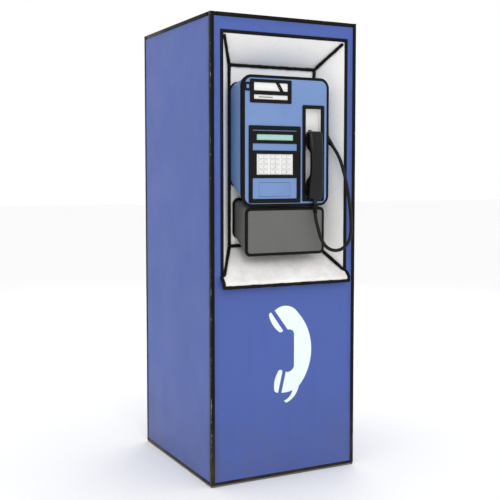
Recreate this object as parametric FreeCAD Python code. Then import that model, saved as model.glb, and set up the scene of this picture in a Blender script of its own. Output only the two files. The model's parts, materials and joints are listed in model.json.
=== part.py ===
"""Street telephone cabinet: a free-standing steel cabinet with a bevelled recess in its
front, a wall-type pay phone and its coin vault in the recess, a corded handset, and a
service door at the rear.

Frame: origin at the centre of the base on the ground, +Z up, the front faces -Y and
the user's right hand is +X. All lengths are millimetres.
"""

import FreeCAD
import Part

import math
import os

# ---------------------------------------------------------------- driving dimensions
HEIGHT = 1650.0
WIDTH = 590.0
DEPTH = 636.0
HALF_W = WIDTH / 2
FRONT = -DEPTH / 2
REAR = DEPTH / 2

BASE_PLATE = 6.0            # steel plate on the ground
POST = 26.0                 # square profile of the welded frame
EDGE = 14.0                 # black face of the profile left visible beside each panel
FOOT_EDGE = 10.0            # the same on the bottom rails
REBATE = 2.5                # step that a panel sits in
POST_WALL = 2.0
SHEET = 2.0                 # cabinet panels
PANEL_INSET = 0.5           # a panel's face sits this far below the profile's face
PANEL_GAP = 0.5             # between a panel's edge and the profile

RECESS_DEPTH = 104.0        # from the front face to the backboard
MOUTH_HALF = 246.0          # recess at the front: half width, bottom and top
MOUTH_LOW = 745.0
MOUTH_HIGH = 1580.0
BACK_HALF = 180.0           # recess at the backboard
BACK_LOW = 836.0
BACK_HIGH = 1490.0
PANEL_REAR = PANEL_INSET + SHEET

PHONE_FACE = -6.0           # depth of the phone's front face, proud of the cabinet
PHONE_HALF = 174.0
PHONE_LOW = 984.0
PHONE_HIGH = 1442.0
PHONE_REAR_HALF = 172.0
PHONE_REAR_LOW = 1054.0
PHONE_REAR_HIGH = 1422.0
PHONE_CORNER = 34.0
SHELL = 3.0                 # wall of the phone's mouldings and of the vault

VAULT_HALF = 160.0
VAULT_LOW = 806.0
VAULT_HIGH = 978.0
VAULT_REAR_HALF = 157.0
VAULT_REAR_LOW = 872.0
VAULT_REAR_HIGH = 1007.0
VAULT_CORNER = 18.0

RUN_FIT = 0.05              # radial clearance of a pin that turns in its bore
BODY_GAP = 0.5              # between pieces that move past each other
FAR_FRONT = -20.0           # depth of a point well in front of the phone
THROUGH_FRONT = (FAR_FRONT, 5.0)        # depths of a cut through one of its fittings


# ---------------------------------------------------------------- shape helpers
def at(depth):
    """Y of a point this far behind the cabinet's front face."""
    return FRONT + depth


def vec(x, y, z):
    return FreeCAD.Vector(x, y, z)


def box(x0, x1, y0, y1, z0, z1):
    return Part.makeBox(x1 - x0, y1 - y0, z1 - z0, vec(x0, y0, z0))


def fuse(*shapes):
    return shapes[0].multiFuse(list(shapes[1:])).removeSplitter()


def solids(*shapes):
    return Part.makeCompound([s for shape in shapes for s in shape.Solids])


def rounded_wire(x0, x1, z0, z1, depth, radius):
    """Outline of a rounded rectangle that faces the front."""
    y = at(depth)
    if radius <= 0:
        corners = [vec(x0, y, z0), vec(x1, y, z0), vec(x1, y, z1), vec(x0, y, z1)]
        return Part.makePolygon(corners + corners[:1])
    edges = []
    centres = [
        (x1 - radius, z0 + radius, -90),
        (x1 - radius, z1 - radius, 0),
        (x0 + radius, z1 - radius, 90),
        (x0 + radius, z0 + radius, 180),
    ]
    for i, (cx, cz, start) in enumerate(centres):
        arc = []
        for turn in (0, 45, 90):
            angle = math.radians(start + turn)
            arc.append(vec(cx + radius * math.cos(angle), y, cz + radius * math.sin(angle)))
        edges.append(Part.Arc(*arc).toShape())
        nx, nz, nstart = centres[(i + 1) % 4]
        angle = math.radians(nstart)
        after = vec(nx + radius * math.cos(angle), y, nz + radius * math.sin(angle))
        if after.distanceToPoint(arc[2]) > 0.01:
            edges.append(Part.LineSegment(arc[2], after).toShape())
    return Part.Wire(edges)


def slab(x0, x1, z0, z1, depth0, depth1, radius=0.0):
    """Rounded plate that faces the front, from depth0 back to depth1."""
    face = Part.Face(rounded_wire(x0, x1, z0, z1, depth0, radius))
    return face.extrude(vec(0, depth1 - depth0, 0))


def side_prism(points, x0, x1):
    """A (depth, z) outline drawn out from x0 to x1."""
    corners = [vec(x0, at(d), z) for d, z in points]
    return Part.Face(Part.makePolygon(corners + corners[:1])).extrude(vec(x1 - x0, 0, 0))


def four_walls(x0, x1, z0, z1, depth0, depth1, wall):
    """Upright rectangular tube of four flat plates, welded at their corners."""
    inner0 = depth0 + wall
    inner1 = depth1 - wall
    return [
        slab(x0, x1, z0, z1, depth0, inner0),
        slab(x0, x1, z0, z1, inner1, depth1),
        slab(x0, x0 + wall, z0, z1, inner0, inner1),
        slab(x1 - wall, x1, z0, z1, inner0, inner1),
    ]


def cylinder(radius, start, direction, length):
    return Part.makeCylinder(radius, length, start, direction)


def tapered(front, rear, depth0, depth1):
    """Straight-sided body between two rounded rectangles (x half, low, high, radius)."""
    wires = []
    for (half, low, high, radius), depth in ((front, depth0), (rear, depth1)):
        wires.append(rounded_wire(-half, half, low, high, depth, radius))
    return Part.makeLoft(wires, True, True)


def depth_slice(shape, depth0, depth1):
    """The part of a shape between two depths."""
    reach = 1000.0
    return shape.common(box(-reach, reach, at(depth0), at(depth1), 0, HEIGHT + reach))


# ---------------------------------------------------------------- cabinet
FRAME_LOW = BASE_PLATE
RAIL_HIGH = FRAME_LOW + POST
PANEL_LOW = FRAME_LOW + FOOT_EDGE + PANEL_GAP
PANEL_HIGH = HEIGHT - EDGE - PANEL_GAP
PANEL_HALF_X = HALF_W - EDGE - PANEL_GAP
PANEL_HALF_Y = REAR - EDGE - PANEL_GAP

ANCHOR_X = 460.0            # hole-to-hole, across and front to back
ANCHOR_Y = 510.0
ANCHOR_R = 7.0
CABLE_R = 30.0              # cable entry, behind the middle of the base
CABLE_Y = 150.0


def base_plate():
    inset = 1.0
    plate = box(-HALF_W + inset, HALF_W - inset, FRONT + inset, REAR - inset, 0, BASE_PLATE)
    holes = [cylinder(CABLE_R, vec(0, CABLE_Y, -1), vec(0, 0, 1), BASE_PLATE + 2)]
    for sx in (-1, 1):
        for sy in (-1, 1):
            foot = vec(sx * ANCHOR_X / 2, sy * ANCHOR_Y / 2, -1)
            holes.append(cylinder(ANCHOR_R, foot, vec(0, 0, 1), BASE_PLATE + 2))
    return plate.cut(holes)


def corner_section():
    """Hollow square with a panel rebate in each of its two outer faces, corner at 0, 0."""
    outer = [
        (0, 0), (EDGE, 0), (EDGE, REBATE), (POST, REBATE), (POST, POST),
        (REBATE, POST), (REBATE, EDGE), (0, EDGE),
    ]
    near = REBATE + POST_WALL
    far = POST - POST_WALL
    return outer, [(near, near), (far, near), (far, far), (near, far)]


def profile(origin, across, up, run, length):
    """The corner section laid out along two directions and drawn out along a third."""
    pieces = []
    for outline in corner_section():
        corners = [origin + across * a + up * b for a, b in outline]
        pieces.append(Part.Face(Part.makePolygon(corners + corners[:1])).extrude(run * length))
    return pieces[0].cut(pieces[1])


def cabinet_frame():
    """Four posts and eight rails, welded end to end."""
    parts = []
    z_up = vec(0, 0, 1)
    for sx in (-1, 1):
        for sy in (-1, 1):
            corner = vec(sx * HALF_W, sy * REAR, FRAME_LOW)
            post = profile(corner, vec(-sx, 0, 0), vec(0, -sy, 0), z_up, HEIGHT - FRAME_LOW)
            x_in = sx * (HALF_W - POST)
            y_in = sy * (REAR - POST)
            x_edge = sx * (HALF_W - EDGE)
            y_edge = sy * (REAR - EDGE)
            roof_step = box(
                min(x_in, x_edge), max(x_in, x_edge), min(y_in, y_edge), max(y_in, y_edge),
                HEIGHT - REBATE, HEIGHT + 1,
            )
            parts.append(post.cut(roof_step))
    x_run = 2 * (HALF_W - POST)
    y_run = 2 * (REAR - POST)
    for sy in (-1, 1):
        start = vec(-x_run / 2, sy * REAR, HEIGHT)
        parts.append(profile(start, vec(0, -sy, 0), vec(0, 0, -1), vec(1, 0, 0), x_run))
        low = vec(-x_run / 2, sy * REAR, FRAME_LOW)
        parts.append(foot_rail(low, vec(0, -sy, 0), vec(1, 0, 0), x_run))
    for sx in (-1, 1):
        start = vec(sx * HALF_W, -y_run / 2, HEIGHT)
        parts.append(profile(start, vec(-sx, 0, 0), vec(0, 0, -1), vec(0, 1, 0), y_run))
        low = vec(sx * HALF_W, -y_run / 2, FRAME_LOW)
        parts.append(foot_rail(low, vec(-sx, 0, 0), vec(0, 1, 0), y_run))
    screw_holes = hinge_screw_shanks()
    return solids(*[part.cut(screw_holes) for part in parts])


def foot_rail(origin, inward, run, length):
    """Bottom rail: one rebate, on its outer face above the visible foot edge."""
    up = vec(0, 0, 1)
    outer = [(0, 0), (POST, 0), (POST, POST), (REBATE, POST), (REBATE, FOOT_EDGE), (0, FOOT_EDGE)]
    near = REBATE + POST_WALL
    far = POST - POST_WALL
    inner = [(near, POST_WALL), (far, POST_WALL), (far, far), (near, far)]
    pieces = []
    for outline in (outer, inner):
        corners = [origin + inward * a + up * b for a, b in outline]
        pieces.append(Part.Face(Part.makePolygon(corners + corners[:1])).extrude(run * length))
    return pieces[0].cut(pieces[1])


def side_panel(side):
    outer = side * (HALF_W - PANEL_INSET)
    inner = side * (HALF_W - PANEL_REAR)
    return box(
        min(outer, inner), max(outer, inner), -PANEL_HALF_Y, PANEL_HALF_Y, PANEL_LOW, PANEL_HIGH
    )


TRIM_LEG = 2.0              # rubber edge trim: thickness, and its width on the front face
TRIM_FACE = 12.0
SILL_UNDER = 5.0            # the panel's cut-out ends this far below the mouth


def front_panel():
    sheet = slab(
        -PANEL_HALF_X, PANEL_HALF_X, PANEL_LOW, PANEL_HIGH, PANEL_INSET, PANEL_REAR
    )
    cut = MOUTH_HALF + TRIM_LEG
    window = slab(-cut, cut, MOUTH_LOW - SILL_UNDER, MOUTH_HIGH + TRIM_LEG, -1, 5)
    return sheet.cut(window)


def roof_panel():
    """Sheet pressed into a shallow hipped field, so that rain runs off it."""
    rise = 4.0
    low = HEIGHT - REBATE
    field_x = 150.0
    field_y = 170.0

    def hip(z):
        rim = [(-1, -1), (1, -1), (1, 1), (-1, 1), (-1, -1)]
        base = Part.makePolygon([vec(a * PANEL_HALF_X, b * PANEL_HALF_Y, z) for a, b in rim])
        top = Part.makePolygon([vec(a * field_x, b * field_y, z + rise) for a, b in rim])
        return Part.makeLoft([base, top], True, True)

    sheet = box(-PANEL_HALF_X, PANEL_HALF_X, -PANEL_HALF_Y, PANEL_HALF_Y, low, low + SHEET)
    return fuse(sheet, hip(low + SHEET)).cut(hip(low))


# ---------------------------------------------------------------- recess
SURROUND = 2.0              # sheet of the recess lining
FLANGE = 16.0               # turned edge behind the front panel
BOARD = 3.0                 # backboard
SILL_LIP = -24.0            # the sill reaches this far in front of the cabinet
SILL_HALF = 256.0
APRON = 18.0                # turned-down front edge of the sill
NOSING_UP = 6.0             # the rubber strip covers this much of the apron's foot
NOSING_WALL = 2.0
SILL_SLOPE = (BACK_LOW - MOUTH_LOW) / (RECESS_DEPTH - PANEL_REAR)


def behind_throat():
    """Space behind the recess, where its slanted plates are trimmed flush."""
    return slab(-HALF_W, HALF_W, PANEL_LOW, HEIGHT, RECESS_DEPTH, RECESS_DEPTH + 20)


def lining(corners, away):
    """Flat lining plate on four inner corners, thickened away from the recess."""
    face = Part.Face(Part.makePolygon(corners + corners[:1]))
    normal = (corners[1] - corners[0]).cross(corners[2] - corners[1]).normalize()
    if normal.dot(away) < 0:
        normal = normal * -1
    plate = face.extrude(normal * SURROUND)
    return plate.cut(behind_throat())


def mouth(x, z):
    return vec(x, at(PANEL_REAR), z)


def throat(x, z):
    return vec(x, at(RECESS_DEPTH), z)


def surround_top():
    corners = [
        mouth(-MOUTH_HALF, MOUTH_HIGH), mouth(MOUTH_HALF, MOUTH_HIGH),
        throat(BACK_HALF, BACK_HIGH), throat(-BACK_HALF, BACK_HIGH),
    ]
    flange = slab(
        -MOUTH_HALF, MOUTH_HALF, MOUTH_HIGH, MOUTH_HIGH + FLANGE, PANEL_REAR, PANEL_REAR + SURROUND
    )
    return fuse(lining(corners, vec(0, 0, 1)), flange)


def surround_side(side):
    corners = [
        mouth(side * MOUTH_HALF, MOUTH_LOW), mouth(side * MOUTH_HALF, MOUTH_HIGH),
        throat(side * BACK_HALF, BACK_HIGH), throat(side * BACK_HALF, BACK_LOW),
    ]
    near = side * MOUTH_HALF
    far = side * (MOUTH_HALF + FLANGE)
    flange = slab(
        min(near, far), max(near, far), MOUTH_LOW + FLANGE, MOUTH_HIGH,
        PANEL_REAR, PANEL_REAR + SURROUND,
    )
    return fuse(lining(corners, vec(side, 0, 0)), flange)


def sill_height(depth):
    """Top surface of the sill at a depth."""
    return MOUTH_LOW + (depth - PANEL_REAR) * SILL_SLOPE


def sill():
    """Sloped shelf that runs out of the recess, with a turned-down apron."""
    neck = PANEL_INSET - TRIM_LEG - BODY_GAP

    def on_top(x, depth):
        return vec(x, at(depth), sill_height(depth))

    outline = [
        (BACK_HALF, RECESS_DEPTH), (MOUTH_HALF, PANEL_REAR), (MOUTH_HALF, neck),
        (SILL_HALF, neck), (SILL_HALF, SILL_LIP),
    ]
    right = [on_top(x, d) for x, d in outline]
    left = [on_top(-x, d) for x, d in reversed(outline)]
    face = Part.Face(Part.makePolygon(right + left + right[:1]))
    down = vec(0, SILL_SLOPE, -1).normalize()
    plate = face.extrude(down * SURROUND)
    lip = sill_height(SILL_LIP)
    apron = slab(-SILL_HALF, SILL_HALF, lip - APRON, lip, SILL_LIP, SILL_LIP + SURROUND)
    return fuse(plate.cut(behind_throat()), apron)


CABLE_WAY_R = 12.0          # wiring hole from the phone into the cabinet
CABLE_WAY = (120.0, 1300.0)
DRAWER_HALF = 130.0
DRAWER_LOW = 884.0
DRAWER_HIGH = 962.0
BOLT_R = 3.0
PHONE_BOLTS = [(x, z) for x in (-140, 140) for z in (1100, 1380)]
VAULT_BOLTS = [(x, z) for x in (-148, 148) for z in (898, 976)]


def backboard():
    margin = 14.0
    board = slab(
        -BACK_HALF - margin, BACK_HALF + margin, BACK_LOW - margin, BACK_HIGH + margin,
        RECESS_DEPTH, RECESS_DEPTH + BOARD,
    )
    slot = slab(
        -DRAWER_HALF - BODY_GAP, DRAWER_HALF + BODY_GAP, DRAWER_LOW - BODY_GAP,
        DRAWER_HIGH + BODY_GAP, RECESS_DEPTH - 5, RECESS_DEPTH + BOARD + 5,
    )
    return board.cut([slot, cable_way()] + bolt_shanks(0))


def cable_way():
    x, z = CABLE_WAY
    return cylinder(CABLE_WAY_R, vec(x, at(RECESS_DEPTH - 10), z), vec(0, 1, 0), 20)


def edge_trim():
    """Rubber trim: an angle round three sides of the mouth, and a channel on the apron."""
    outer = MOUTH_HALF + TRIM_FACE
    cut = MOUTH_HALF + TRIM_LEG
    top = MOUTH_HIGH
    low = MOUTH_LOW + 2
    face = slab(-outer, outer, low, top + TRIM_FACE, PANEL_INSET - TRIM_LEG, PANEL_INSET)
    leg = slab(-cut, cut, low, top + TRIM_LEG, PANEL_INSET, PANEL_REAR)
    opening = slab(-MOUTH_HALF, MOUTH_HALF, low - 1, top, -5, 5)
    foot = sill_height(SILL_LIP) - APRON
    channel = slab(
        -SILL_HALF, SILL_HALF, foot - NOSING_WALL, foot + NOSING_UP,
        SILL_LIP - NOSING_WALL, SILL_LIP + SURROUND + NOSING_WALL,
    )
    groove = slab(-SILL_HALF, SILL_HALF, foot, foot + 20, SILL_LIP, SILL_LIP + SURROUND)
    return solids(fuse(face, leg).cut(opening), channel.cut(groove))


def handset_sign():
    """Handset pictogram: a bow with a cord tail, and two separate caps."""
    thick = 1.5
    y = at(PANEL_INSET)

    def point(x, z):
        return vec(x, y, z)

    def outline(*spans):
        edges = []
        for span in spans:
            points = [point(x, z) for x, z in span]
            if len(points) == 2:
                edges.append(Part.LineSegment(*points).toShape())
            else:
                edges.append(Part.Arc(*points).toShape())
        return Part.Face(Part.Wire(edges)).extrude(vec(0, -thick, 0))

    bow = outline(
        ((-44, 610), (0, 625), (52, 596)),
        ((52, 596), (108, 462), (82, 362)),
        ((82, 362), (70, 343), (56, 327)),
        ((56, 327), (38, 292), (4, 270)),
        ((4, 270), (-6, 278)),
        ((-6, 278), (18, 292), (30, 314)),
        ((30, 314), (8, 309), (-16, 309)),
        ((-16, 309), (2, 384)),
        ((2, 384), (24, 386), (36, 402)),
        ((36, 402), (36, 520)),
        ((36, 520), (28, 534), (10, 537)),
        ((10, 537), (-44, 610)),
    )
    ear = outline(
        ((-59, 604), (-10, 535)),
        ((-10, 535), (-19, 530), (-30, 535)),
        ((-30, 535), (-54, 562), (-67, 592)),
        ((-67, 592), (-66, 600), (-59, 604)),
    )
    mouth_piece = outline(
        ((-12, 388), (-30, 311)),
        ((-30, 311), (-41, 314), (-46, 328)),
        ((-46, 328), (-43, 360), (-32, 383)),
        ((-32, 383), (-20, 393), (-12, 388)),
    )
    return solids(bow, ear, mouth_piece)


# ---------------------------------------------------------------- rear door
HINGE_Z = (260.0, 825.0, 1390.0)
HINGE_X = -(HALF_W - EDGE) + 0.7
HINGE_Y = REAR + 6.5
KNUCKLE_R = 6.0
KNUCKLE = 20.0
PIN_R = 3.0
LEAF = 2.5
LEAF_WIDE = 24.0
LOCK_X = 236.0
LOCK_Z = 900.0
PLUG_R = 11.0
LOCK_REACH = 30.0           # from the door's face to its cam, past the post


def knuckle(middle, slot):
    """One knuckle of a hinge: slot -1, 0 or 1 along its pin, with a tongue to its leaf."""
    low = middle + slot * (KNUCKLE + BODY_GAP) - KNUCKLE / 2
    barrel = cylinder(KNUCKLE_R, vec(HINGE_X, HINGE_Y, low), vec(0, 0, 1), KNUCKLE)
    reach = KNUCKLE_R + 1.5
    if slot == 0:
        tongue = box(HINGE_X, HINGE_X + reach, REAR, REAR + LEAF, low, low + KNUCKLE)
    else:
        tongue = box(HINGE_X - reach, HINGE_X, REAR, REAR + LEAF, low, low + KNUCKLE)
    bore = cylinder(PIN_R + RUN_FIT, vec(HINGE_X, HINGE_Y, low - 1), vec(0, 0, 1), KNUCKLE + 2)
    return fuse(barrel, tongue).cut(bore)


def hinge_span(middle):
    half = 1.5 * KNUCKLE + BODY_GAP
    return middle - half, middle + half


def rear_door():
    """Folded steel door in the rear opening, with the moving half of each hinge."""
    edge_gap = 1.5
    half = HALF_W - EDGE - edge_gap
    low = FRAME_LOW + FOOT_EDGE + edge_gap
    high = HEIGHT - EDGE - edge_gap
    sheet = box(-half, half, REAR - SHEET, REAR, low, high)
    pan_half = HALF_W - POST - 3
    pan_low = RAIL_HIGH + 4
    pan_high = HEIGHT - POST - 4
    fold = 16.0
    fold_wall = 1.5
    pan = box(-pan_half, pan_half, REAR - SHEET - fold, REAR - SHEET, pan_low, pan_high)
    hollow = box(
        -pan_half + fold_wall, pan_half - fold_wall, REAR - SHEET - fold - 1, REAR - SHEET,
        pan_low + fold_wall, pan_high - fold_wall,
    )
    door = fuse(sheet, pan.cut(hollow))
    start = HINGE_X + KNUCKLE_R + 1.0
    for middle in HINGE_Z:
        z0, z1 = hinge_span(middle)
        leaf = box(start, start + LEAF_WIDE, REAR, REAR + LEAF, z0, z1)
        door = fuse(door, leaf, knuckle(middle, 0))
    lock_hole = cylinder(
        PLUG_R + RUN_FIT, vec(LOCK_X, REAR - 10, LOCK_Z), vec(0, 1, 0), 20
    )
    return door.cut([lock_hole] + vent_slots(low) + vent_slots(high))


def vent_slots(door_end):
    """Group of louvre slots near one end of the door."""
    rows = 6
    pitch = 14.0
    half_wide = 90.0
    half_high = 2.0
    from_end = 110.0
    middle = door_end + (from_end if door_end < HEIGHT / 2 else -from_end)
    slots = []
    for row in range(rows):
        z = middle + (row - (rows - 1) / 2) * pitch
        slots.append(
            box(-half_wide, half_wide, REAR - 5, REAR + 5, z - half_high, z + half_high)
        )
    return slots


def door_hinges():
    """Fixed halves of the hinges, screwed to the rear post."""
    halves = []
    end = HINGE_X - KNUCKLE_R - 0.8
    for middle in HINGE_Z:
        z0, z1 = hinge_span(middle)
        leaf = box(-HALF_W + 1.5, end, REAR, REAR + LEAF, z0, z1)
        halves.append(fuse(leaf, knuckle(middle, -1), knuckle(middle, 1)))
    shanks = hinge_screw_shanks()
    return solids(*[half.cut(shanks) for half in halves])


HINGE_SCREW_X = -HALF_W + 4.2
HINGE_SCREW_R = 1.5
HINGE_SCREW_Z = 22.0        # from a hinge's middle to its screws


def hinge_screw_places():
    return [
        (HINGE_SCREW_X, middle + side * HINGE_SCREW_Z) for middle in HINGE_Z for side in (-1, 1)
    ]


def hinge_screw_shanks():
    depth = 4.0
    return [
        cylinder(HINGE_SCREW_R, vec(x, REAR - depth, z), vec(0, 1, 0), depth + LEAF)
        for x, z in hinge_screw_places()
    ]


def hinge_screws():
    head_r = 2.6
    head = 1.6
    screws = []
    for (x, z), shank in zip(hinge_screw_places(), hinge_screw_shanks()):
        cap = cylinder(head_r, vec(x, REAR + LEAF, z), vec(0, 1, 0), head)
        screws.append(fuse(shank, cap))
    return solids(*screws)


def door_hinge_pins():
    head_r = 4.8
    head = 3.0
    pins = []
    for middle in HINGE_Z:
        z0, z1 = hinge_span(middle)
        shank = cylinder(PIN_R, vec(HINGE_X, HINGE_Y, z0), vec(0, 0, 1), z1 - z0)
        cap = cylinder(head_r, vec(HINGE_X, HINGE_Y, z1), vec(0, 0, 1), head)
        pins.append(fuse(shank, cap))
    return solids(*pins)


def cam_lock(x, z, back, front, cam_way, cam_length):
    """Plug that turns about Y: a head behind `back`, and a cam at `front` along `cam_way`."""
    head_r = PLUG_R + 3.0
    head = 3.0
    key_wide = 2.0
    key_high = 9.0
    cam_half = 8.0
    cam = 3.0
    plug = cylinder(PLUG_R, vec(x, front, z), vec(0, 1, 0), back - front)
    rim = cylinder(head_r, vec(x, back + BODY_GAP, z), vec(0, 1, 0), head)
    neck = cylinder(PLUG_R, vec(x, back, z), vec(0, 1, 0), BODY_GAP)
    tip_x = x + cam_way[0] * cam_length
    tip_z = z + cam_way[1] * cam_length
    wide_x = cam_half * (1 - abs(cam_way[0]))
    wide_z = cam_half * (1 - abs(cam_way[1]))
    arm = box(
        min(x, tip_x) - wide_x, max(x, tip_x) + wide_x, front - cam, front,
        min(z, tip_z) - wide_z, max(z, tip_z) + wide_z,
    )
    hub = cylinder(cam_half + 3, vec(x, front - cam, z), vec(0, 1, 0), cam)
    keyway = box(
        x - key_wide / 2, x + key_wide / 2, back, back + 10, z - key_high / 2, z + key_high / 2
    )
    return fuse(plug, neck, rim, arm, hub).cut(keyway)


# ---------------------------------------------------------------- phone
COVER_REAR = 4.0            # the front cover ends here, on the seal's lip
SEAL_REAR = 10.0
SEAL_PROUD = 3.0            # the rubber seal stands this far outside the housing's sides
SEAL_RIM = 8.0              # and frames the cover this far inside them
COVER_SKIN = 3.0            # front wall of the cover
COVER_BACK = PHONE_FACE + COVER_SKIN

BEZEL_FACE = PHONE_FACE - 3.0
BORDER = 13.0

PANEL_X = (-152.0, 56.0)    # instrument bezel
PANEL_Z = (996.0, 1268.0)
WINDOW_X = (-121.0, 25.0)   # display and keypad windows
DISPLAY_Z = (1217.5, 1237.5)
KEYPAD_Z = (1096.0, 1169.0)
FLAP_X = (-111.0, 15.0)
FLAP_Z = (1019.0, 1069.0)

COIN_X = (-147.0, 18.0)     # coin and card bezel
COIN_Z = (1347.0, 1429.0)
SLOT_X = (-132.0, 4.0)
INLET_Z = (1389.0, 1418.0)
CARD_Z = (1359.5, 1375.5)
BUTTON_X = (-165.5, -147.0) # block beside the bezel that holds the return button
BUTTON_Z = (1387.0, 1417.0)

CRADLE_X = (64.0, 155.0)
CRADLE_Z = (1000.0, 1345.0)


def phone_body(inset=0.0):
    front = (PHONE_HALF - inset, PHONE_LOW + inset, PHONE_HIGH - inset, PHONE_CORNER - inset)
    rear = (
        PHONE_REAR_HALF - inset, PHONE_REAR_LOW + inset, PHONE_REAR_HIGH - inset,
        PHONE_CORNER - inset,
    )
    return tapered(front, rear, PHONE_FACE, RECESS_DEPTH)


def grown(x, z, by):
    return x[0] - by, x[1] + by, z[0] - by, z[1] + by


def rect(x, z, by, depth0, depth1, radius=0.0):
    """Rounded plate over an (x, z) window grown by some margin."""
    return slab(*grown(x, z, by), depth0, depth1, radius)


def front_edges(shape, depth):
    """Edges that lie in the plane at that depth."""
    return [
        edge for edge in shape.Edges
        if abs(edge.BoundBox.YMin - at(depth)) < 0.01 and abs(edge.BoundBox.YMax - at(depth)) < 0.01
    ]


def phone_cover():
    """Front cover: a shallow pan set in its rubber seal, with the openings of its fittings."""
    round_over = 1.5
    blank = depth_slice(phone_body(SEAL_RIM), PHONE_FACE, COVER_REAR)
    blank = blank.makeFillet(round_over, front_edges(blank, PHONE_FACE))
    hollow = depth_slice(phone_body(SEAL_RIM + SHELL), COVER_BACK, COVER_REAR + 1)
    web = -4.0
    cuts = [
        hollow,
        rect(PANEL_X, PANEL_Z, web, *THROUGH_FRONT),
        rect(COIN_X, COIN_Z, web, *THROUGH_FRONT),
        rect(BUTTON_X, BUTTON_Z, web, *THROUGH_FRONT),
        rect(CRADLE_X, CRADLE_Z, TRIM_SLEEVE - BORDER, *THROUGH_FRONT),
    ]
    return blank.cut(cuts)


def cover_seal():
    """Rubber bumper and seal: a rim round the cover and a lip between it and the housing."""
    round_over = 4.0
    lip = 4.5
    ring = depth_slice(phone_body(-SEAL_PROUD), PHONE_FACE, SEAL_REAR)
    ring = ring.makeFillet(round_over, front_edges(ring, PHONE_FACE))
    seat = depth_slice(phone_body(SEAL_RIM), PHONE_FACE - 1, COVER_REAR)
    throat_hole = depth_slice(phone_body(SEAL_RIM + lip), COVER_REAR - 1, SEAL_REAR + 1)
    return ring.cut([seat, throat_hole])


def bolt_shanks(extra):
    """Bolts from behind the backboard into the phone's and the vault's rear walls."""
    start = RECESS_DEPTH - SHELL - 5
    shanks = []
    for x, z in PHONE_BOLTS + VAULT_BOLTS:
        length = BOARD + SHELL + 5
        shanks.append(cylinder(BOLT_R + extra, vec(x, at(start), z), vec(0, 1, 0), length))
    return shanks


def phone_bolts():
    head_r = 5.5
    head = 4.0
    bolts = []
    for (x, z), shank in zip(PHONE_BOLTS + VAULT_BOLTS, bolt_shanks(0)):
        cap = cylinder(head_r, vec(x, at(RECESS_DEPTH + BOARD), z), vec(0, 1, 0), head)
        bolts.append(fuse(shank, cap))
    return solids(*bolts)


CHUTE_X = (-46.0, -12.0)
CHUTE_DEPTH = (68.0, 90.0)


def phone_housing():
    """Rear shell, closed at the back, open at the front where the seal sits."""
    shell = depth_slice(phone_body(), SEAL_REAR, RECESS_DEPTH)
    hollow = depth_slice(phone_body(SHELL), SEAL_REAR - 1, RECESS_DEPTH - SHELL)
    gap = 0.2
    chute = box(
        CHUTE_X[0] - gap, CHUTE_X[1] + gap, at(CHUTE_DEPTH[0] - gap), at(CHUTE_DEPTH[1] + gap),
        PHONE_LOW, PHONE_REAR_LOW + 40,
    )
    return shell.cut([hollow, chute, cable_way()] + bolt_shanks(0))


# ---------------------------------------------------------------- coin and card unit
INLET_TOP = -38.0           # the inlet bar leans from here down to INLET_FOOT
INLET_FOOT = -20.0
LAND_FACE = -5.0            # white faces inside the bezel's windows
COIN_SLOT = 3.2
RETURN_W = 9.0              # return button
RETURN_H = 13.0


def return_button_centre():
    return (sum(BUTTON_X) / 2 - 0.5, sum(BUTTON_Z) / 2)


def coin_bezel():
    """Black frame with an upper window, a lower window and the return button's block."""
    ring = rect(COIN_X, COIN_Z, 0, BEZEL_FACE, PHONE_FACE, 4)
    web = rect(COIN_X, COIN_Z, -4, PHONE_FACE, 0)
    block = rect(BUTTON_X, BUTTON_Z, 0, BEZEL_FACE, PHONE_FACE, 2)
    block_web = rect(BUTTON_X, BUTTON_Z, -4, PHONE_FACE, 0)
    cx, cz = return_button_centre()
    well_x = (cx - RETURN_W / 2, cx + RETURN_W / 2)
    well_z = (cz - RETURN_H / 2, cz + RETURN_H / 2)
    cuts = [
        rect(SLOT_X, INLET_Z, 0, *THROUGH_FRONT, 1.5),
        rect(SLOT_X, CARD_Z, 0, *THROUGH_FRONT, 1.5),
        rect(well_x, well_z, BODY_GAP, FAR_FRONT, -2.5, 1.5),
        rect((cx - 2.5, cx + 2.5), (cz - 2.5, cz + 2.5), BODY_GAP, *THROUGH_FRONT),
    ]
    return fuse(ring, web, block, block_web).cut(cuts)


def return_button():
    cx, cz = return_button_centre()
    travel_room = 3.6
    x = (cx - RETURN_W / 2, cx + RETURN_W / 2)
    z = (cz - RETURN_H / 2, cz + RETURN_H / 2)
    cap = rect(x, z, 0, BEZEL_FACE - 0.8, -2.5 - travel_room, 1.2)
    stem = rect((cx - 2.5, cx + 2.5), (cz - 2.5, cz + 2.5), 0, -2.5 - travel_room, 6)
    return fuse(cap, stem)


def inlet_outline(half_wide, grow_z):
    """The leaning bar, as corners in the plane of the front."""
    z0, z1 = INLET_Z
    lean = (INLET_TOP - INLET_FOOT) / (z1 - z0)
    low = z0 - grow_z
    high = z1 + grow_z
    x_low = INLET_FOOT + lean * (low - z0)
    x_high = INLET_FOOT + lean * (high - z0)
    return [
        (x_low - half_wide, low), (x_low + half_wide, low),
        (x_high + half_wide, high), (x_high - half_wide, high),
    ]


def leaning_bar(half_wide, grow_z, depth0, depth1):
    corners = [vec(x, at(depth0), z) for x, z in inlet_outline(half_wide, grow_z)]
    return Part.Face(Part.makePolygon(corners + corners[:1])).extrude(vec(0, depth1 - depth0, 0))


def coin_slot():
    return leaning_bar(COIN_SLOT / 2, -1.5, FAR_FRONT, 6)


def coin_plate():
    flange = rect(SLOT_X, INLET_Z, 5, 0, 2.5)
    land = rect(SLOT_X, INLET_Z, -0.2, LAND_FACE, 0, 1.3)
    return fuse(flange, land).cut(coin_slot())


def coin_inlet():
    return leaning_bar(6.5, -0.4, LAND_FACE - 3.2, LAND_FACE).cut(coin_slot())


CARD_SLOT = 58.0
CARD_SLOT_X = -84.0


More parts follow.
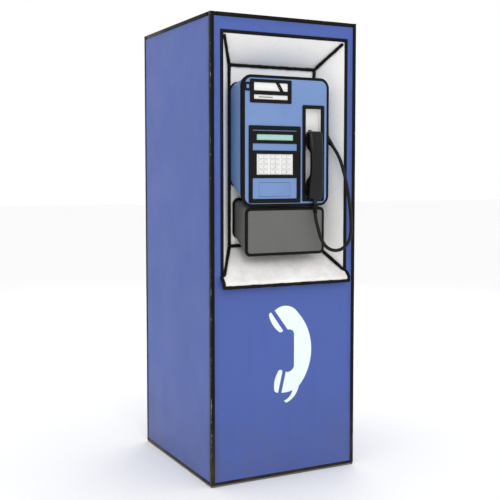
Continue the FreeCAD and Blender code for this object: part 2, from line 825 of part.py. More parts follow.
def card_reader():
    """Mouth in the lower window with the reader's body behind it."""
    flange = slab(SLOT_X[0] - 4, SLOT_X[1] + 4, CARD_Z[0] - 4, CARD_Z[1] + 4, 0, 2.5)
    land = rect(SLOT_X, CARD_Z, -0.2, LAND_FACE, 0, 1.3)
    half = CARD_SLOT / 2
    body = slab(CARD_SLOT_X - 36, CARD_SLOT_X + 36, CARD_Z[0] - 4, CARD_Z[1] + 4, 2.5, 78)
    middle = sum(CARD_Z) / 2
    slot = slab(CARD_SLOT_X - half, CARD_SLOT_X + half, middle - 1.5, middle + 1.5, FAR_FRONT, 70)
    return fuse(flange, land, body).cut(slot)


def coin_chute():
    """Duct from the coin slot down into the vault: a head, and a straight fall under it."""
    wall = 2.0
    near, far = CHUTE_DEPTH
    top = INLET_Z[1] + 2.5
    foot = 985.0
    joint = 1376.0
    outer = [(2.5, INLET_Z[0] - 2), (2.5, top), (far, top), (far, joint), (near, joint)]
    inner = [
        (0, INLET_Z[0]), (0, top - wall), (far - wall, top - wall), (far - wall, joint - 5),
        (near + wall, joint - 5), (near + wall, joint + 3),
    ]
    head = side_prism(outer, *CHUTE_X)
    head = head.cut(side_prism(inner, CHUTE_X[0] + wall, CHUTE_X[1] - wall))
    return solids(head, *four_walls(*CHUTE_X, foot, joint, near, far, wall))


# ---------------------------------------------------------------- instrument panel
WEB_FACE = -4.0             # floor that the blue plate lies on
WEB_REAR = 2.0
PLATE_FACE = -6.5
FLAP_AXIS = (-1.0, FLAP_Z[1] - 3.5)     # depth and z of the flap's trunnions
FLAP_BARREL = 3.0
TRUNNION_R = 1.6


def instrument_bezel():
    """Black moulding: outer ring and the rings of the display and the keypad on one web."""
    ring = rect(PANEL_X, PANEL_Z, 0, BEZEL_FACE, PHONE_FACE, 5)
    web = rect(PANEL_X, PANEL_Z, -4.3, PHONE_FACE, WEB_REAR)
    pocket = rect(PANEL_X, PANEL_Z, -BORDER - 2, FAR_FRONT, WEB_FACE)
    frames = [
        slab(PANEL_X[0] + 10, PANEL_X[1] - 10, z[0] - 12, z[1] + 12, BEZEL_FACE, WEB_FACE)
        for z in (DISPLAY_Z, KEYPAD_Z)
    ]
    body = fuse(fuse(ring, web).cut(pocket), *frames)
    lip = 6.0
    cuts = [
        rect(WINDOW_X, DISPLAY_Z, 0, FAR_FRONT, WEB_FACE),
        rect(WINDOW_X, DISPLAY_Z, -2, *THROUGH_FRONT),
        rect(WINDOW_X, KEYPAD_Z, 0, FAR_FRONT, WEB_FACE),
        slab(
            WINDOW_X[0] + lip, WINDOW_X[1] - lip, KEYPAD_Z[0] + 1, KEYPAD_Z[1] - 1, *THROUGH_FRONT
        ),
        rect(FLAP_X, FLAP_Z, 0, *THROUGH_FRONT),
        flap_trunnion(TRUNNION_R + RUN_FIT),
    ]
    return body.cut(cuts)


def flap_trunnion(radius):
    reach = 5.0
    depth, z = FLAP_AXIS
    start = vec(FLAP_X[0] - reach, at(depth), z)
    return cylinder(radius, start, vec(1, 0, 0), FLAP_X[1] - FLAP_X[0] + 2 * reach)


def instrument_plate():
    """Blue inlay between the black rings, with the return flap's opening."""
    fit = 0.2
    inner = BORDER + 2
    strips = [
        (DISPLAY_Z[1] + 12 + fit, PANEL_Z[1] - inner - fit),
        (KEYPAD_Z[1] + 12 + fit, DISPLAY_Z[0] - 12 - fit),
        (PANEL_Z[0] + inner + fit, KEYPAD_Z[0] - 12 - fit),
    ]
    left = PANEL_X[0] + inner + fit
    right = PANEL_X[1] - inner - fit
    plates = [slab(left, right, low, high, PLATE_FACE, WEB_FACE) for low, high in strips]
    plates[2] = plates[2].cut(rect(FLAP_X, FLAP_Z, 0, *THROUGH_FRONT))
    return solids(*plates)


def display_glass():
    return rect(WINDOW_X, DISPLAY_Z, -0.1, -7.0, WEB_FACE)


KEY_COLUMNS = (-94.0, -48.0, -2.0)
KEY_PITCH = 18.0
KEY_W = 37.0
KEY_H = 13.0
KEY_NAMES = ["1", "2", "3", "4", "5", "6", "7", "8", "9", "star", "0", "hash"]
PLATE_BACK = WEB_FACE
KEY_FACE = -9.2


def key_places():
    """Name, x and z of each key, row by row from the top."""
    top = sum(KEYPAD_Z) / 2 + 1.5 * KEY_PITCH
    places = []
    for index, name in enumerate(KEY_NAMES):
        row, column = divmod(index, len(KEY_COLUMNS))
        places.append((name, KEY_COLUMNS[column], top - row * KEY_PITCH))
    return places


def around(x, z, wide, high, by, depth0, depth1, radius=0.0):
    """Rounded plate about a centre, grown by some margin."""
    across = (x - wide / 2, x + wide / 2)
    upright = (z - high / 2, z + high / 2)
    return rect(across, upright, by, depth0, depth1, radius)


def keypad_plate():
    plate = rect(WINDOW_X, KEYPAD_Z, -0.1, PLATE_FACE + 0.5, PLATE_BACK)
    holes = [around(x, z, KEY_W, KEY_H, BODY_GAP, *THROUGH_FRONT, 2.0) for _, x, z in key_places()]
    return plate.cut(holes)


def key(x, z):
    """Key cap with a retaining flange behind the plate and a stem to its switch."""
    flange_back = PLATE_BACK + BODY_GAP + 1.3
    cap = around(x, z, KEY_W, KEY_H, 0, KEY_FACE, PLATE_BACK + BODY_GAP, 1.5)
    cap = cap.makeFillet(0.8, front_edges(cap, KEY_FACE))
    flange = around(x, z, KEY_W, KEY_H, 1.5, PLATE_BACK + BODY_GAP, flange_back)
    stem = cylinder(3.0, vec(x, at(flange_back), z), vec(0, 1, 0), 5.0)
    return fuse(cap, flange, stem)


BOARD_DEPTH = 6.5


def control_board():
    """Circuit board with the display block and one dome switch behind each key."""
    thick = 1.6
    margin = 6.0
    board = slab(
        WINDOW_X[0] - margin, WINDOW_X[1] + margin, 1085, 1255, BOARD_DEPTH, BOARD_DEPTH + thick
    )
    display = rect(WINDOW_X, DISPLAY_Z, -3, WEB_FACE, BOARD_DEPTH)
    domes = [
        cylinder(3.5, vec(x, at(BOARD_DEPTH - 1.0), z), vec(0, 1, 0), 1.0)
        for _, x, z in key_places()
    ]
    return fuse(board, display, *domes)


def return_flap():
    """Flap that swings inward on its own trunnions, along its top edge."""
    depth, axis_z = FLAP_AXIS
    x0 = FLAP_X[0] + 1
    x1 = FLAP_X[1] - 1
    plate = slab(x0, x1, FLAP_Z[0] + 1, FLAP_Z[1] - 1, PLATE_FACE, PLATE_FACE + 3)
    barrel = cylinder(FLAP_BARREL, vec(x0, at(depth), axis_z), vec(1, 0, 0), x1 - x0)
    return fuse(plate, barrel, flap_trunnion(TRUNNION_R).common(
        box(x0 - 4, x1 + 4, FRONT - 50, 0, 0, HEIGHT)
    ))


def return_cup():
    """Scoop behind the flap that catches the returned coins."""
    wall = 2.0
    x0 = FLAP_X[0] - 0.5
    x1 = FLAP_X[1] + 0.5
    low = FLAP_Z[0] - 5
    high = FLAP_Z[1] + 5
    outer = [(WEB_REAR, low), (14, low), (57, low + 28), (57, high), (WEB_REAR, high)]
    inner = [
        (WEB_REAR - 1, low + wall), (13.5, low + wall), (55, low + 29), (55, high - wall),
        (WEB_REAR - 1, high - wall),
    ]
    cup = side_prism(outer, x0 - wall, x1 + wall)
    return cup.cut(side_prism(inner, x0, x1))


# ---------------------------------------------------------------- cradle and hook
TRIM_SLEEVE = 11.0          # the trim's sleeve starts this far inside its outer edge
TRAY_FLOOR = 16.0
TRAY_WALL = 2.5
HOOK_X = (102.0, 115.0)
HOOK_AXIS = (23.0, 1262.0)  # depth and z
HOOK_PIN_R = 2.0


def cradle_trim():
    ring = rect(CRADLE_X, CRADLE_Z, 0, BEZEL_FACE, PHONE_FACE, 4)
    sleeve = rect(CRADLE_X, CRADLE_Z, -TRIM_SLEEVE - 0.1, PHONE_FACE, COVER_BACK)
    return fuse(ring, sleeve).cut(rect(CRADLE_X, CRADLE_Z, -BORDER, *THROUGH_FRONT, 2))


def hook_pin(radius):
    reach = 5.0
    depth, z = HOOK_AXIS
    start = vec(HOOK_X[0] - reach, at(depth), z)
    return cylinder(radius, start, vec(1, 0, 0), HOOK_X[1] - HOOK_X[0] + 2 * reach)


def handset_cradle():
    """Tray that the handset lies in, with a ledge under its ear cap and the hook's slot."""
    inner = -BORDER - 0.5
    flange = rect(CRADLE_X, CRADLE_Z, -2, COVER_BACK, COVER_BACK + 2)
    tray = rect(CRADLE_X, CRADLE_Z, inner + TRAY_WALL, COVER_BACK, TRAY_FLOOR + TRAY_WALL)
    hollow = rect(CRADLE_X, CRADLE_Z, inner, FAR_FRONT, TRAY_FLOOR, 4)
    depth, z = HOOK_AXIS
    lug = 3.5
    lugs = [
        box(x, x + lug, at(TRAY_FLOOR + TRAY_WALL), at(depth + 5), z - 6, z + 6)
        for x in (HOOK_X[0] - 1.5 - lug, HOOK_X[1] + 1.5)
    ]
    ledge_high = EAR_Z - CAP_R - 0.6
    ledge = slab(90, 127, ledge_high - 9.4, ledge_high, CAP_FACE - 8, TRAY_FLOOR)
    slot = slab(HOOK_X[0] - 1, HOOK_X[1] + 1, 1210, 1258, FAR_FRONT, TRAY_FLOOR + 5)
    tub = fuse(flange, tray).cut(hollow)
    return fuse(tub, ledge, *lugs).cut([slot, hook_pin(HOOK_PIN_R + RUN_FIT)])


def hook_lever():
    """Lever that the ear cap holds pressed: arm, nose and its own trunnions."""
    depth, z = HOOK_AXIS
    outline = [
        (20, z), (20, 1229), (CAP_FACE + 0.6, 1225), (CAP_FACE + 0.6, 1217), (20, 1214),
        (24, 1214), (26, z),
    ]
    arm = side_prism(outline, *HOOK_X)
    barrel = cylinder(3.5, vec(HOOK_X[0], at(depth), z), vec(1, 0, 0), HOOK_X[1] - HOOK_X[0])
    return fuse(arm, barrel, hook_pin(HOOK_PIN_R))


# ---------------------------------------------------------------- handset
GRIP_X = 109.5              # centreline
GRIP_HALF = 28.0
GRIP_LOW = 1006.0
GRIP_HIGH = 1252.0
WELL_LOW = 1018.0           # lowest point of what goes into the tray
CAP_R = 27.0
EAR_Z = 1223.0
MOUTH_Z = 1046.0
CAP_SEAT = 6.0
CAP_FACE = 14.9
NECK_DEPTH = -20.0
NECK_R = 8.0
NECK_LOW = 991.0


def handset_shell():
    """Grip bridging two blocks; the capsules sit in pockets that the caps close."""
    y_back = -30.0
    bow = -43.0
    middle = (GRIP_LOW + GRIP_HIGH) / 2
    inner = -20.0
    past = 4.0
    points = [
        (y_back, GRIP_HIGH + past), (CAP_SEAT, GRIP_HIGH + past), (CAP_SEAT, EAR_Z - CAP_R - 1),
        (inner, EAR_Z - CAP_R - 12), (inner, MOUTH_Z + CAP_R + 12),
        (CAP_SEAT, MOUTH_Z + CAP_R + 1), (CAP_SEAT, WELL_LOW), (BEZEL_FACE - 2, WELL_LOW),
        (BEZEL_FACE - 2, GRIP_LOW - past), (y_back, GRIP_LOW - past),
    ]
    corners = [vec(GRIP_X - 40, at(d), z) for d, z in points]
    edges = [Part.LineSegment(a, b).toShape() for a, b in zip(corners, corners[1:])]
    crown = vec(GRIP_X - 40, at(bow), middle)
    edges.append(Part.Arc(corners[-1], crown, corners[0]).toShape())
    side_view = Part.Face(Part.Wire(edges)).extrude(vec(80, 0, 0))
    front_view = slab(
        GRIP_X - GRIP_HALF, GRIP_X + GRIP_HALF, GRIP_LOW, GRIP_HIGH, -60, 20, 12
    )
    waist = 90.0
    waists = [
        cylinder(
            waist, vec(GRIP_X + side * (GRIP_HALF + waist - 3.5), at(-70), middle),
            vec(0, 1, 0), 100,
        )
        for side in (-1, 1)
    ]
    grip = side_view.common(front_view).cut(waists)
    neck = cylinder(NECK_R, vec(GRIP_X, at(NECK_DEPTH), NECK_LOW), vec(0, 0, 1), 20)
    pockets = [
        cylinder(22.0, vec(GRIP_X, at(-8), z), vec(0, 1, 0), 20) for z in (EAR_Z, MOUTH_Z)
    ]
    return fuse(grip, neck).cut(pockets)


def handset_cap(z, holes):
    """Screw-on cap with a ring of sound holes."""
    disc = cylinder(CAP_R, vec(GRIP_X, at(CAP_SEAT), z), vec(0, 1, 0), CAP_FACE - CAP_SEAT)
    rim = [
        edge for edge in disc.Edges
        if abs(edge.BoundBox.YMin - at(CAP_FACE)) < 0.01 and edge.BoundBox.ZLength > CAP_R
    ]
    disc = disc.makeFillet(2.5, rim)
    well = cylinder(21.0, vec(GRIP_X, at(CAP_SEAT) - 1, z), vec(0, 1, 0), 5.0)
    drills = []
    for index in range(holes):
        angle = 2 * math.pi * index / holes
        x = GRIP_X + 12 * math.cos(angle)
        drills.append(
            cylinder(1.6, vec(x, at(CAP_SEAT), z + 12 * math.sin(angle)), vec(0, 1, 0), 20)
        )
    return disc.cut([well] + drills)


def handset_capsules():
    """Receiver and microphone capsules."""
    return solids(*[
        cylinder(20.0, vec(GRIP_X, at(-7.5), z), vec(0, 1, 0), 15.0) for z in (EAR_Z, MOUTH_Z)
    ])


# ---------------------------------------------------------------- cord
CORD_R = 6.5
GLAND_BALL = (187.0, 30.0, 1234.0)      # x, depth, z
GLAND_WAY = (0.40, -0.45, -0.80)
GLAND_LENGTH = 34.0
CORD_ROUTE = [              # x, depth, z, from the gland to the handset's neck
    (200.58, 14.72, 1206.83),
    (218.0, -4.9, 1172.0),
    (229.0, -24.0, 1112.0),
    (239.0, -36.0, 1046.0),
    (246.0, -43.0, 978.0),
    (249.0, -47.0, 916.0),
    (245.0, -50.0, 867.0),
    (222.0, -52.0, 833.0),
    (183.0, -53.0, 819.0),
    (143.0, -52.0, 830.0),
    (119.0, -48.0, 863.0),
    (111.5, -39.0, 904.0),
    (109.0, -22.5, 948.0),
    (109.5, -20.0, 990.2),
]


def gland_axis():
    return vec(*GLAND_WAY).normalize()


def cord_gland():
    """Angled gland on the phone's right side: flange, ball and tapered nose."""
    x, depth, z = GLAND_BALL
    ball_at = vec(x, at(depth), z)
    flange = cylinder(15.0, vec(PHONE_HALF - 6, at(depth), z), vec(1, 0, 0), 11.0)
    ball = Part.makeSphere(12.0, ball_at)
    nose = Part.makeCone(10.5, 8.0, GLAND_LENGTH, ball_at, gland_axis())
    return fuse(flange, ball, nose).cut(phone_body())


def handset_cord():
    """Tube on straight runs joined by tangent arcs."""
    points = [vec(x, at(depth), z) for x, depth, z in CORD_ROUTE]
    edges = []
    start = points[0]
    length = 0.0
    for before, here, after in zip(points, points[1:], points[2:]):
        back = before - here
        ahead = after - here
        trim = 0.45 * min(back.Length, ahead.Length)
        turn = math.pi - back.getAngle(ahead)
        radius = trim / math.tan(turn / 2)
        back.normalize()
        ahead.normalize()
        enter = here + back * trim
        leave = here + ahead * trim
        inward = back + ahead
        inward.normalize()
        crown = here + inward * (radius / math.cos(turn / 2) - radius)
        edges.append(Part.LineSegment(start, enter).toShape())
        edges.append(Part.Arc(enter, crown, leave).toShape())
        length += (enter - start).Length + radius * turn
        print("cord turn %5.1f deg  radius %6.1f" % (math.degrees(turn), radius))
        start = leave
    edges.append(Part.LineSegment(start, points[-1]).toShape())
    length += (points[-1] - start).Length
    path = Part.Wire(edges)
    first = points[1] - points[0]
    section = Part.Wire([Part.Circle(points[0], first, CORD_R).toShape()])
    tube = path.makePipeShell([section], True, False)
    ratio = tube.Volume / (math.pi * CORD_R ** 2 * length)
    print("cord length %.1f mm, volume over section times length %.4f" % (length, ratio))
    return tube


# ---------------------------------------------------------------- vault
def vault_body(inset=0.0):
    front = (VAULT_HALF - inset, VAULT_LOW + inset, VAULT_HIGH - inset, VAULT_CORNER - inset)
    rear = (
        VAULT_REAR_HALF - inset, VAULT_REAR_LOW + inset, VAULT_REAR_HIGH - inset,
        VAULT_CORNER - inset,
    )
    return tapered(front, rear, 0, RECESS_DEPTH)


def vault_housing():
    """Armoured box under the phone: a deep shell and the frame welded into its open rear."""
    frame_face = RECESS_DEPTH - SHELL
    round_over = 5.0
    blank = vault_body()
    blank = blank.makeFillet(round_over, front_edges(blank, 0))
    hollow = depth_slice(vault_body(SHELL), SHELL, frame_face)
    slot = slab(
        -DRAWER_HALF - BODY_GAP, DRAWER_HALF + BODY_GAP, DRAWER_LOW - BODY_GAP,
        DRAWER_HIGH + BODY_GAP, frame_face - 1, RECESS_DEPTH + 1,
    )
    gap = 0.2
    inlet = box(
        CHUTE_X[0] - gap, CHUTE_X[1] + gap, at(CHUTE_DEPTH[0] - gap), at(CHUTE_DEPTH[1] + gap),
        VAULT_HIGH, VAULT_REAR_HIGH + 5,
    )
    shell = depth_slice(blank, -1, frame_face).cut([hollow, inlet])
    rear_frame = depth_slice(blank, frame_face, RECESS_DEPTH).cut([slot] + bolt_shanks(0))
    return solids(shell, rear_frame)


VAULT_LOCK_X = 96.0
VAULT_LOCK_Z = 923.0
DRAWER_FACE = RECESS_DEPTH + BOARD + BODY_GAP       # front of the drawer's rear plate
DRAWER_PLATE = 3.0
BOX_REAR = 90.0             # the coin box ends here, and the lock's cam turns behind it


def coin_drawer():
    """Open-topped coin box, its floor run on to a rear plate with a bail handle."""
    wall = 2.0
    near = 8.0
    back = DRAWER_FACE + DRAWER_PLATE
    half = DRAWER_HALF
    floor_top = DRAWER_LOW + wall
    floor = slab(-half, half, DRAWER_LOW, floor_top, near, DRAWER_FACE)
    walls = four_walls(-half, half, floor_top, DRAWER_HIGH, near, BOX_REAR, wall)
    margin = 8.0
    plate = slab(
        -half - margin, half + margin, DRAWER_LOW - margin, DRAWER_HIGH + margin,
        DRAWER_FACE, back, 4,
    )
    grip_x = (-50.0, 20.0)
    grip_z = (908.0, 938.0)
    grip_bar = 6.0
    grip_reach = 22.0
    handle = slab(*grip_x, *grip_z, back, back + grip_reach)
    finger = slab(
        grip_x[0] + grip_bar, grip_x[1] - grip_bar, grip_z[0] - 8, grip_z[1] + 8,
        back, back + grip_reach - grip_bar,
    )
    lock_bore = cylinder(
        PLUG_R + RUN_FIT, vec(VAULT_LOCK_X, at(DRAWER_FACE - 3), VAULT_LOCK_Z), vec(0, 1, 0), 12
    )
    rear = fuse(plate, handle.cut(finger)).cut(lock_bore)
    return solids(floor, *walls, rear)


def vault_lock():
    """Cam lock of the drawer; its cam turns up in front of the housing's rear frame."""
    back = at(DRAWER_FACE + DRAWER_PLATE)
    clearance = 3.5
    front = at(RECESS_DEPTH - SHELL - clearance)
    return cam_lock(VAULT_LOCK_X, VAULT_LOCK_Z, back, front, (-1, 0), 50)


def terminal_box():
    """Line terminal on the backboard's rear: body and lid."""
    near = RECESS_DEPTH + BOARD
    deep = 38.0
    wall = 3.0
    lid = 4.0
    across = (40.0, 160.0)
    upright = (1120.0, 1210.0)
    body = rect(across, upright, 0, near, near + deep, 4)
    hollow = rect(across, upright, -wall, near + wall, near + deep + 1, 3)
    cover = rect(across, upright, 1, near + deep, near + deep + lid, 4)
    return solids(body.cut(hollow), cover)


# ---------------------------------------------------------------- all nodes
def build():
    nodes = {
        "base_plate": base_plate(),
        "cabinet_frame": cabinet_frame(),
        "left_panel": side_panel(-1),
        "right_panel": side_panel(1),
        "front_panel": front_panel(),
        "roof_panel": roof_panel(),
        "surround_top": surround_top(),
        "surround_left": surround_side(-1),
        "surround_right": surround_side(1),
        "sill": sill(),
        "backboard": backboard(),
        "edge_trim": edge_trim(),
        "handset_sign": handset_sign(),
        "rear_door": rear_door(),
        "door_hinges": door_hinges(),
        "door_hinge_pins": door_hinge_pins(),
        "hinge_screws": hinge_screws(),
        "door_lock": cam_lock(LOCK_X, LOCK_Z, REAR, REAR - LOCK_REACH, (0, -1), 45),
        "terminal_box": terminal_box(),
        "phone_housing": phone_housing(),
        "phone_cover": phone_cover(),
        "cover_seal": cover_seal(),
        "phone_bolts": phone_bolts(),
        "coin_bezel": coin_bezel(),
        "coin_plate": coin_plate(),
        "coin_inlet": coin_inlet(),
        "card_reader": card_reader(),
        "coin_chute": coin_chute(),
        "return_button": return_button(),
        "instrument_bezel": instrument_bezel(),
        "instrument_plate": instrument_plate(),
        "display_glass": display_glass(),
        "keypad_plate": keypad_plate(),
        "control_board": control_board(),
        "return_flap": return_flap(),
        "return_cup": return_cup(),
        "handset_cradle": handset_cradle(),
        "cradle_trim": cradle_trim(),
        "hook_lever": hook_lever(),
        "handset_shell": handset_shell(),
        "ear_cap": handset_cap(EAR_Z, 8),
        "mouth_cap": handset_cap(MOUTH_Z, 6),
        "handset_capsules": handset_capsules(),
        "cord_gland": cord_gland(),
        "handset_cord": handset_cord(),
        "vault_housing": vault_housing(),
        "coin_drawer": coin_drawer(),
        "vault_lock": vault_lock(),
    }
    for name, x, z in key_places():
        nodes["key_" + name] = key(x, z)
    return nodes


def main():
    os.makedirs("parts", exist_ok=True)
    for name, shape in build().items():
        for solid in shape.Solids:
            if not solid.isValid() or solid.Volume <= 0:
                print("bad solid in", name)
        shape.exportStep("parts/%s.step" % name)
        print("%-18s solids %2d volume %.0f" % (name, len(shape.Solids), shape.Volume))


main()
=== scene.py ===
"""Looks of the street telephone cabinet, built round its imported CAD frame."""

import json
import math

import bmesh
import bpy
from mathutils import Matrix, Vector

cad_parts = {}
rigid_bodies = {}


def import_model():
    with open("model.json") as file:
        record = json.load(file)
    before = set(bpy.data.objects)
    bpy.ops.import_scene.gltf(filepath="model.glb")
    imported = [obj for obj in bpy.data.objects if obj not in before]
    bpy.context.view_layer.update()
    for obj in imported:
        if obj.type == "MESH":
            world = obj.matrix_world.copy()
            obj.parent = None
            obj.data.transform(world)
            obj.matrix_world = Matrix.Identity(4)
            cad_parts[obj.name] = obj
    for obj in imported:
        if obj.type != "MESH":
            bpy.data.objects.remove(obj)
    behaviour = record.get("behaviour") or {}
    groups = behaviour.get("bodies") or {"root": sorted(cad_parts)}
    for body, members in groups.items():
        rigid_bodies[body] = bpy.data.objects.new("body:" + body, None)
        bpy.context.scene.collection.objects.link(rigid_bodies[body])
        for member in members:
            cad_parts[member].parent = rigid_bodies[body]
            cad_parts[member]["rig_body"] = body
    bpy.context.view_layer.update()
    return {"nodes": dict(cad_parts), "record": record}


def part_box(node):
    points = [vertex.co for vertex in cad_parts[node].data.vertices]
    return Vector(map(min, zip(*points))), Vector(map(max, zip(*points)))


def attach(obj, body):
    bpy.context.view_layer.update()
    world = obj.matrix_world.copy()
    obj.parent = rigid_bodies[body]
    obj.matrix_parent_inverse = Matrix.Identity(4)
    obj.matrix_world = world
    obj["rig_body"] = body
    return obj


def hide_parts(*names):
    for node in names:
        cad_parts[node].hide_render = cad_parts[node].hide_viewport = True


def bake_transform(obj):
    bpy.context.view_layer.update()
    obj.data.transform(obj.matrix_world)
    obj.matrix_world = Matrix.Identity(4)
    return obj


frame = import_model()
nodes = frame["nodes"]

# ---------------------------------------------------------------- places taken from the frame
CABINET_LOW, CABINET_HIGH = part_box("cabinet_frame")
BOARD_LOW, BOARD_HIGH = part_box("backboard")
FRONT = CABINET_LOW.y
HEIGHT = CABINET_HIGH.z

# Places that no node's box gives, in metres, as the CAD model has them.
MOUTH_LOW = 0.745           # foot of the recess's mouth
BOARD_MARGIN = 0.014        # the backboard runs on this far behind the recess's linings
VAULT_FRONT_HIGH = 0.978    # top of the vault's front, which is lower than its rear
PHONE_REAR = (0.172, 1.054, 1.422, 0.034)       # half width, low, high, corner radius
VAULT_REAR = (0.157, 0.872, 1.007, 0.018)       # and the same of the vault


def at(depth):
    """Y of a point this far behind the cabinet's front face."""
    return FRONT + depth


# ---------------------------------------------------------------- node helpers
def colour(red, green, blue):
    """A linear colour from its everyday 0 to 255 values."""
    def linear(value):
        share = value / 255
        return share / 12.92 if share <= 0.04045 else ((share + 0.055) / 1.055) ** 2.4

    return (linear(red), linear(green), linear(blue), 1.0)


def shade(base, factor):
    """The same colour, darker or lighter."""
    return tuple(min(1.0, c * factor) for c in base[:3]) + (1.0,)


class Finish:
    """A material with its shader, and short ways to add procedural detail to it."""

    def __init__(self, name, base, roughness, metallic=0.0):
        self.material = bpy.data.materials.new(name)
        self.material.use_nodes = True
        self.tree = self.material.node_tree
        self.shader = self.tree.nodes["Principled BSDF"]
        self.base = base
        self.shader.inputs["Base Color"].default_value = base
        self.shader.inputs["Roughness"].default_value = roughness
        self.shader.inputs["Metallic"].default_value = metallic
        self.place = self.tree.nodes.new("ShaderNodeTexCoord").outputs["Object"]
        self.paint = None
        self.normal = None

    def link(self, source, target):
        self.tree.links.new(source, target)

    def node(self, kind, **settings):
        made = self.tree.nodes.new(kind)
        for key, value in settings.items():
            setattr(made, key, value)
        return made

    def stretched(self, scale):
        """Coordinates for a noise that is finer along some axes than others."""
        mapping = self.node("ShaderNodeMapping")
        mapping.inputs["Scale"].default_value = scale
        self.link(self.place, mapping.inputs["Vector"])
        return mapping.outputs["Vector"]

    def noise(self, scale, detail=4.0, place=None, roughness=0.55):
        made = self.node("ShaderNodeTexNoise")
        made.inputs["Scale"].default_value = scale
        made.inputs["Detail"].default_value = detail
        made.inputs["Roughness"].default_value = roughness
        self.link(place or self.place, made.inputs["Vector"])
        return made.outputs["Fac"]

    def axis(self, name):
        split = self.node("ShaderNodeSeparateXYZ")
        self.link(self.place, split.inputs[0])
        return split.outputs[name]

    def math(self, operation, first, second=None):
        made = self.node("ShaderNodeMath", operation=operation)
        for socket, value in zip(made.inputs, (first, second)):
            if value is None:
                continue
            if isinstance(value, (int, float)):
                socket.default_value = value
            else:
                self.link(value, socket)
        return made.outputs[0]

    def in_repeat(self, source, share):
        """1 in the first share of each whole step of source, and 0 in the rest."""
        return self.math("LESS_THAN", self.math("FRACT", source), share)

    def fade(self, source, start, end, low=0.0, high=1.0):
        """Low before start, high after end, straight between them, clamped."""
        made = self.node("ShaderNodeMapRange", clamp=True)
        for name, value in (
            ("From Min", start), ("From Max", end), ("To Min", low), ("To Max", high),
        ):
            made.inputs[name].default_value = value
        self.link(source, made.inputs["Value"])
        return made.outputs["Result"]

    def over(self, mask, tint):
        """Paints tint over what is there, where the mask is 1."""
        mix = self.node("ShaderNodeMix", data_type="RGBA")
        self.link(mask, mix.inputs["Factor"])
        if self.paint is None:
            mix.inputs["A"].default_value = self.base
        else:
            self.link(self.paint, mix.inputs["A"])
        mix.inputs["B"].default_value = tint
        self.paint = mix.outputs["Result"]
        self.link(self.paint, self.shader.inputs["Base Color"])

    def rough(self, source, low, high):
        """Roughness that goes from low to high over the middle of a noise."""
        self.link(self.fade(source, 0.3, 0.7, low, high), self.shader.inputs["Roughness"])

    def bump(self, source, distance, strength):
        """Relief of that depth in metres, laid over what relief is there."""
        made = self.node("ShaderNodeBump")
        made.inputs["Distance"].default_value = distance
        made.inputs["Strength"].default_value = strength
        self.link(source, made.inputs["Height"])
        if self.normal is not None:
            self.link(self.normal, made.inputs["Normal"])
        self.normal = made.outputs["Normal"]
        self.link(self.normal, self.shader.inputs["Normal"])

    def set(self, **values):
        """Sets the shader's own inputs, with _ for each space in an input's name."""
        for name, value in values.items():
            self.shader.inputs[name.replace("_", " ")].default_value = value


def clouds(finish, strength):
    """Slow drift of the tone that any large painted face has."""
    slow = finish.noise(2.6, 3.0)
    finish.over(finish.fade(slow, 0.35, 0.75, 0.0, strength), shade(finish.base, 0.55))
    finish.over(finish.fade(slow, 0.25, 0.6, strength, 0.0), shade(finish.base, 1.5))


def specks(finish, scale, tint, threshold):
    """Small spots where a fine noise passes the threshold."""
    softness = 0.06
    fine = finish.noise(scale, 2.0)
    finish.over(finish.fade(fine, threshold, threshold + softness), tint)


def rain_streaks(finish, strength, tint):
    """Faint vertical runs, broken up along their length."""
    runs = finish.noise(1.0, 3.0, finish.stretched((55.0, 55.0, 1.3)))
    breaks = finish.noise(4.0, 2.0)
    mask = finish.math("MULTIPLY", finish.fade(runs, 0.55, 0.75), finish.fade(breaks, 0.4, 0.65))
    finish.over(finish.math("MULTIPLY", mask, strength), tint)


def splash(finish, height, strength, tint):
    """Street dirt thrown up from the ground, thinning out with height."""
    near = finish.fade(finish.axis("Z"), 0.0, height, 1.0, 0.0)
    patch = finish.noise(14.0, 6.0)
    mask = finish.math("MULTIPLY", near, finish.fade(patch, 0.3, 0.75))
    finish.over(finish.math("MULTIPLY", mask, strength), tint)


def edge_closeness(finish):
    """Distance in metres from the cabinet's nearest outer edge line."""
    to_side = finish.math("SUBTRACT", CABINET_HIGH.x, finish.math("ABSOLUTE", finish.axis("X")))
    to_front = finish.math("SUBTRACT", CABINET_HIGH.y, finish.math("ABSOLUTE", finish.axis("Y")))
    to_top = finish.math("SUBTRACT", HEIGHT, finish.axis("Z"))
    nearest = finish.math("MAXIMUM", to_side, to_front)
    for pair in ((to_side, to_top), (to_front, to_top)):
        nearest = finish.math("MINIMUM", nearest, finish.math("MAXIMUM", *pair))
    return nearest


def grime_beside_frame(finish, strength, tint):
    """Dirt that rain leaves on a panel along the frame's profiles."""
    profile = 0.0145
    reach = 0.03
    near = finish.fade(edge_closeness(finish), profile, profile + reach, 1.0, 0.0)
    patch = finish.noise(11.0, 6.0, roughness=0.65)
    mask = finish.math("MULTIPLY", finish.math("POWER", near, 2.0), finish.fade(patch, 0.32, 0.68))
    finish.over(finish.math("MULTIPLY", mask, strength), tint)


def orange_peel(finish):
    """Fine ripple of sprayed enamel."""
    finish.bump(finish.noise(420.0, 2.0), 0.00012, 0.5)


DIRT = colour(92, 84, 72)
GRIME = colour(70, 68, 64)


# ---------------------------------------------------------------- materials
def cabinet_blue():
    finish = Finish("cabinet_blue", colour(74, 94, 163), 0.4)
    clouds(finish, 0.08)
    rain_streaks(finish, 0.20, shade(finish.base, 0.62))
    grime_beside_frame(finish, 0.55, shade(finish.base, 0.42))
    splash(finish, 0.34, 0.42, DIRT)
    specks(finish, 260.0, shade(finish.base, 1.35), 0.73)
    finish.rough(finish.noise(7.0, 5.0), 0.36, 0.48)
    orange_peel(finish)
    finish.bump(finish.noise(3.0, 1.0), 0.0010, 0.25)
    finish.set(Specular_IOR_Level=0.2)
    return finish.material


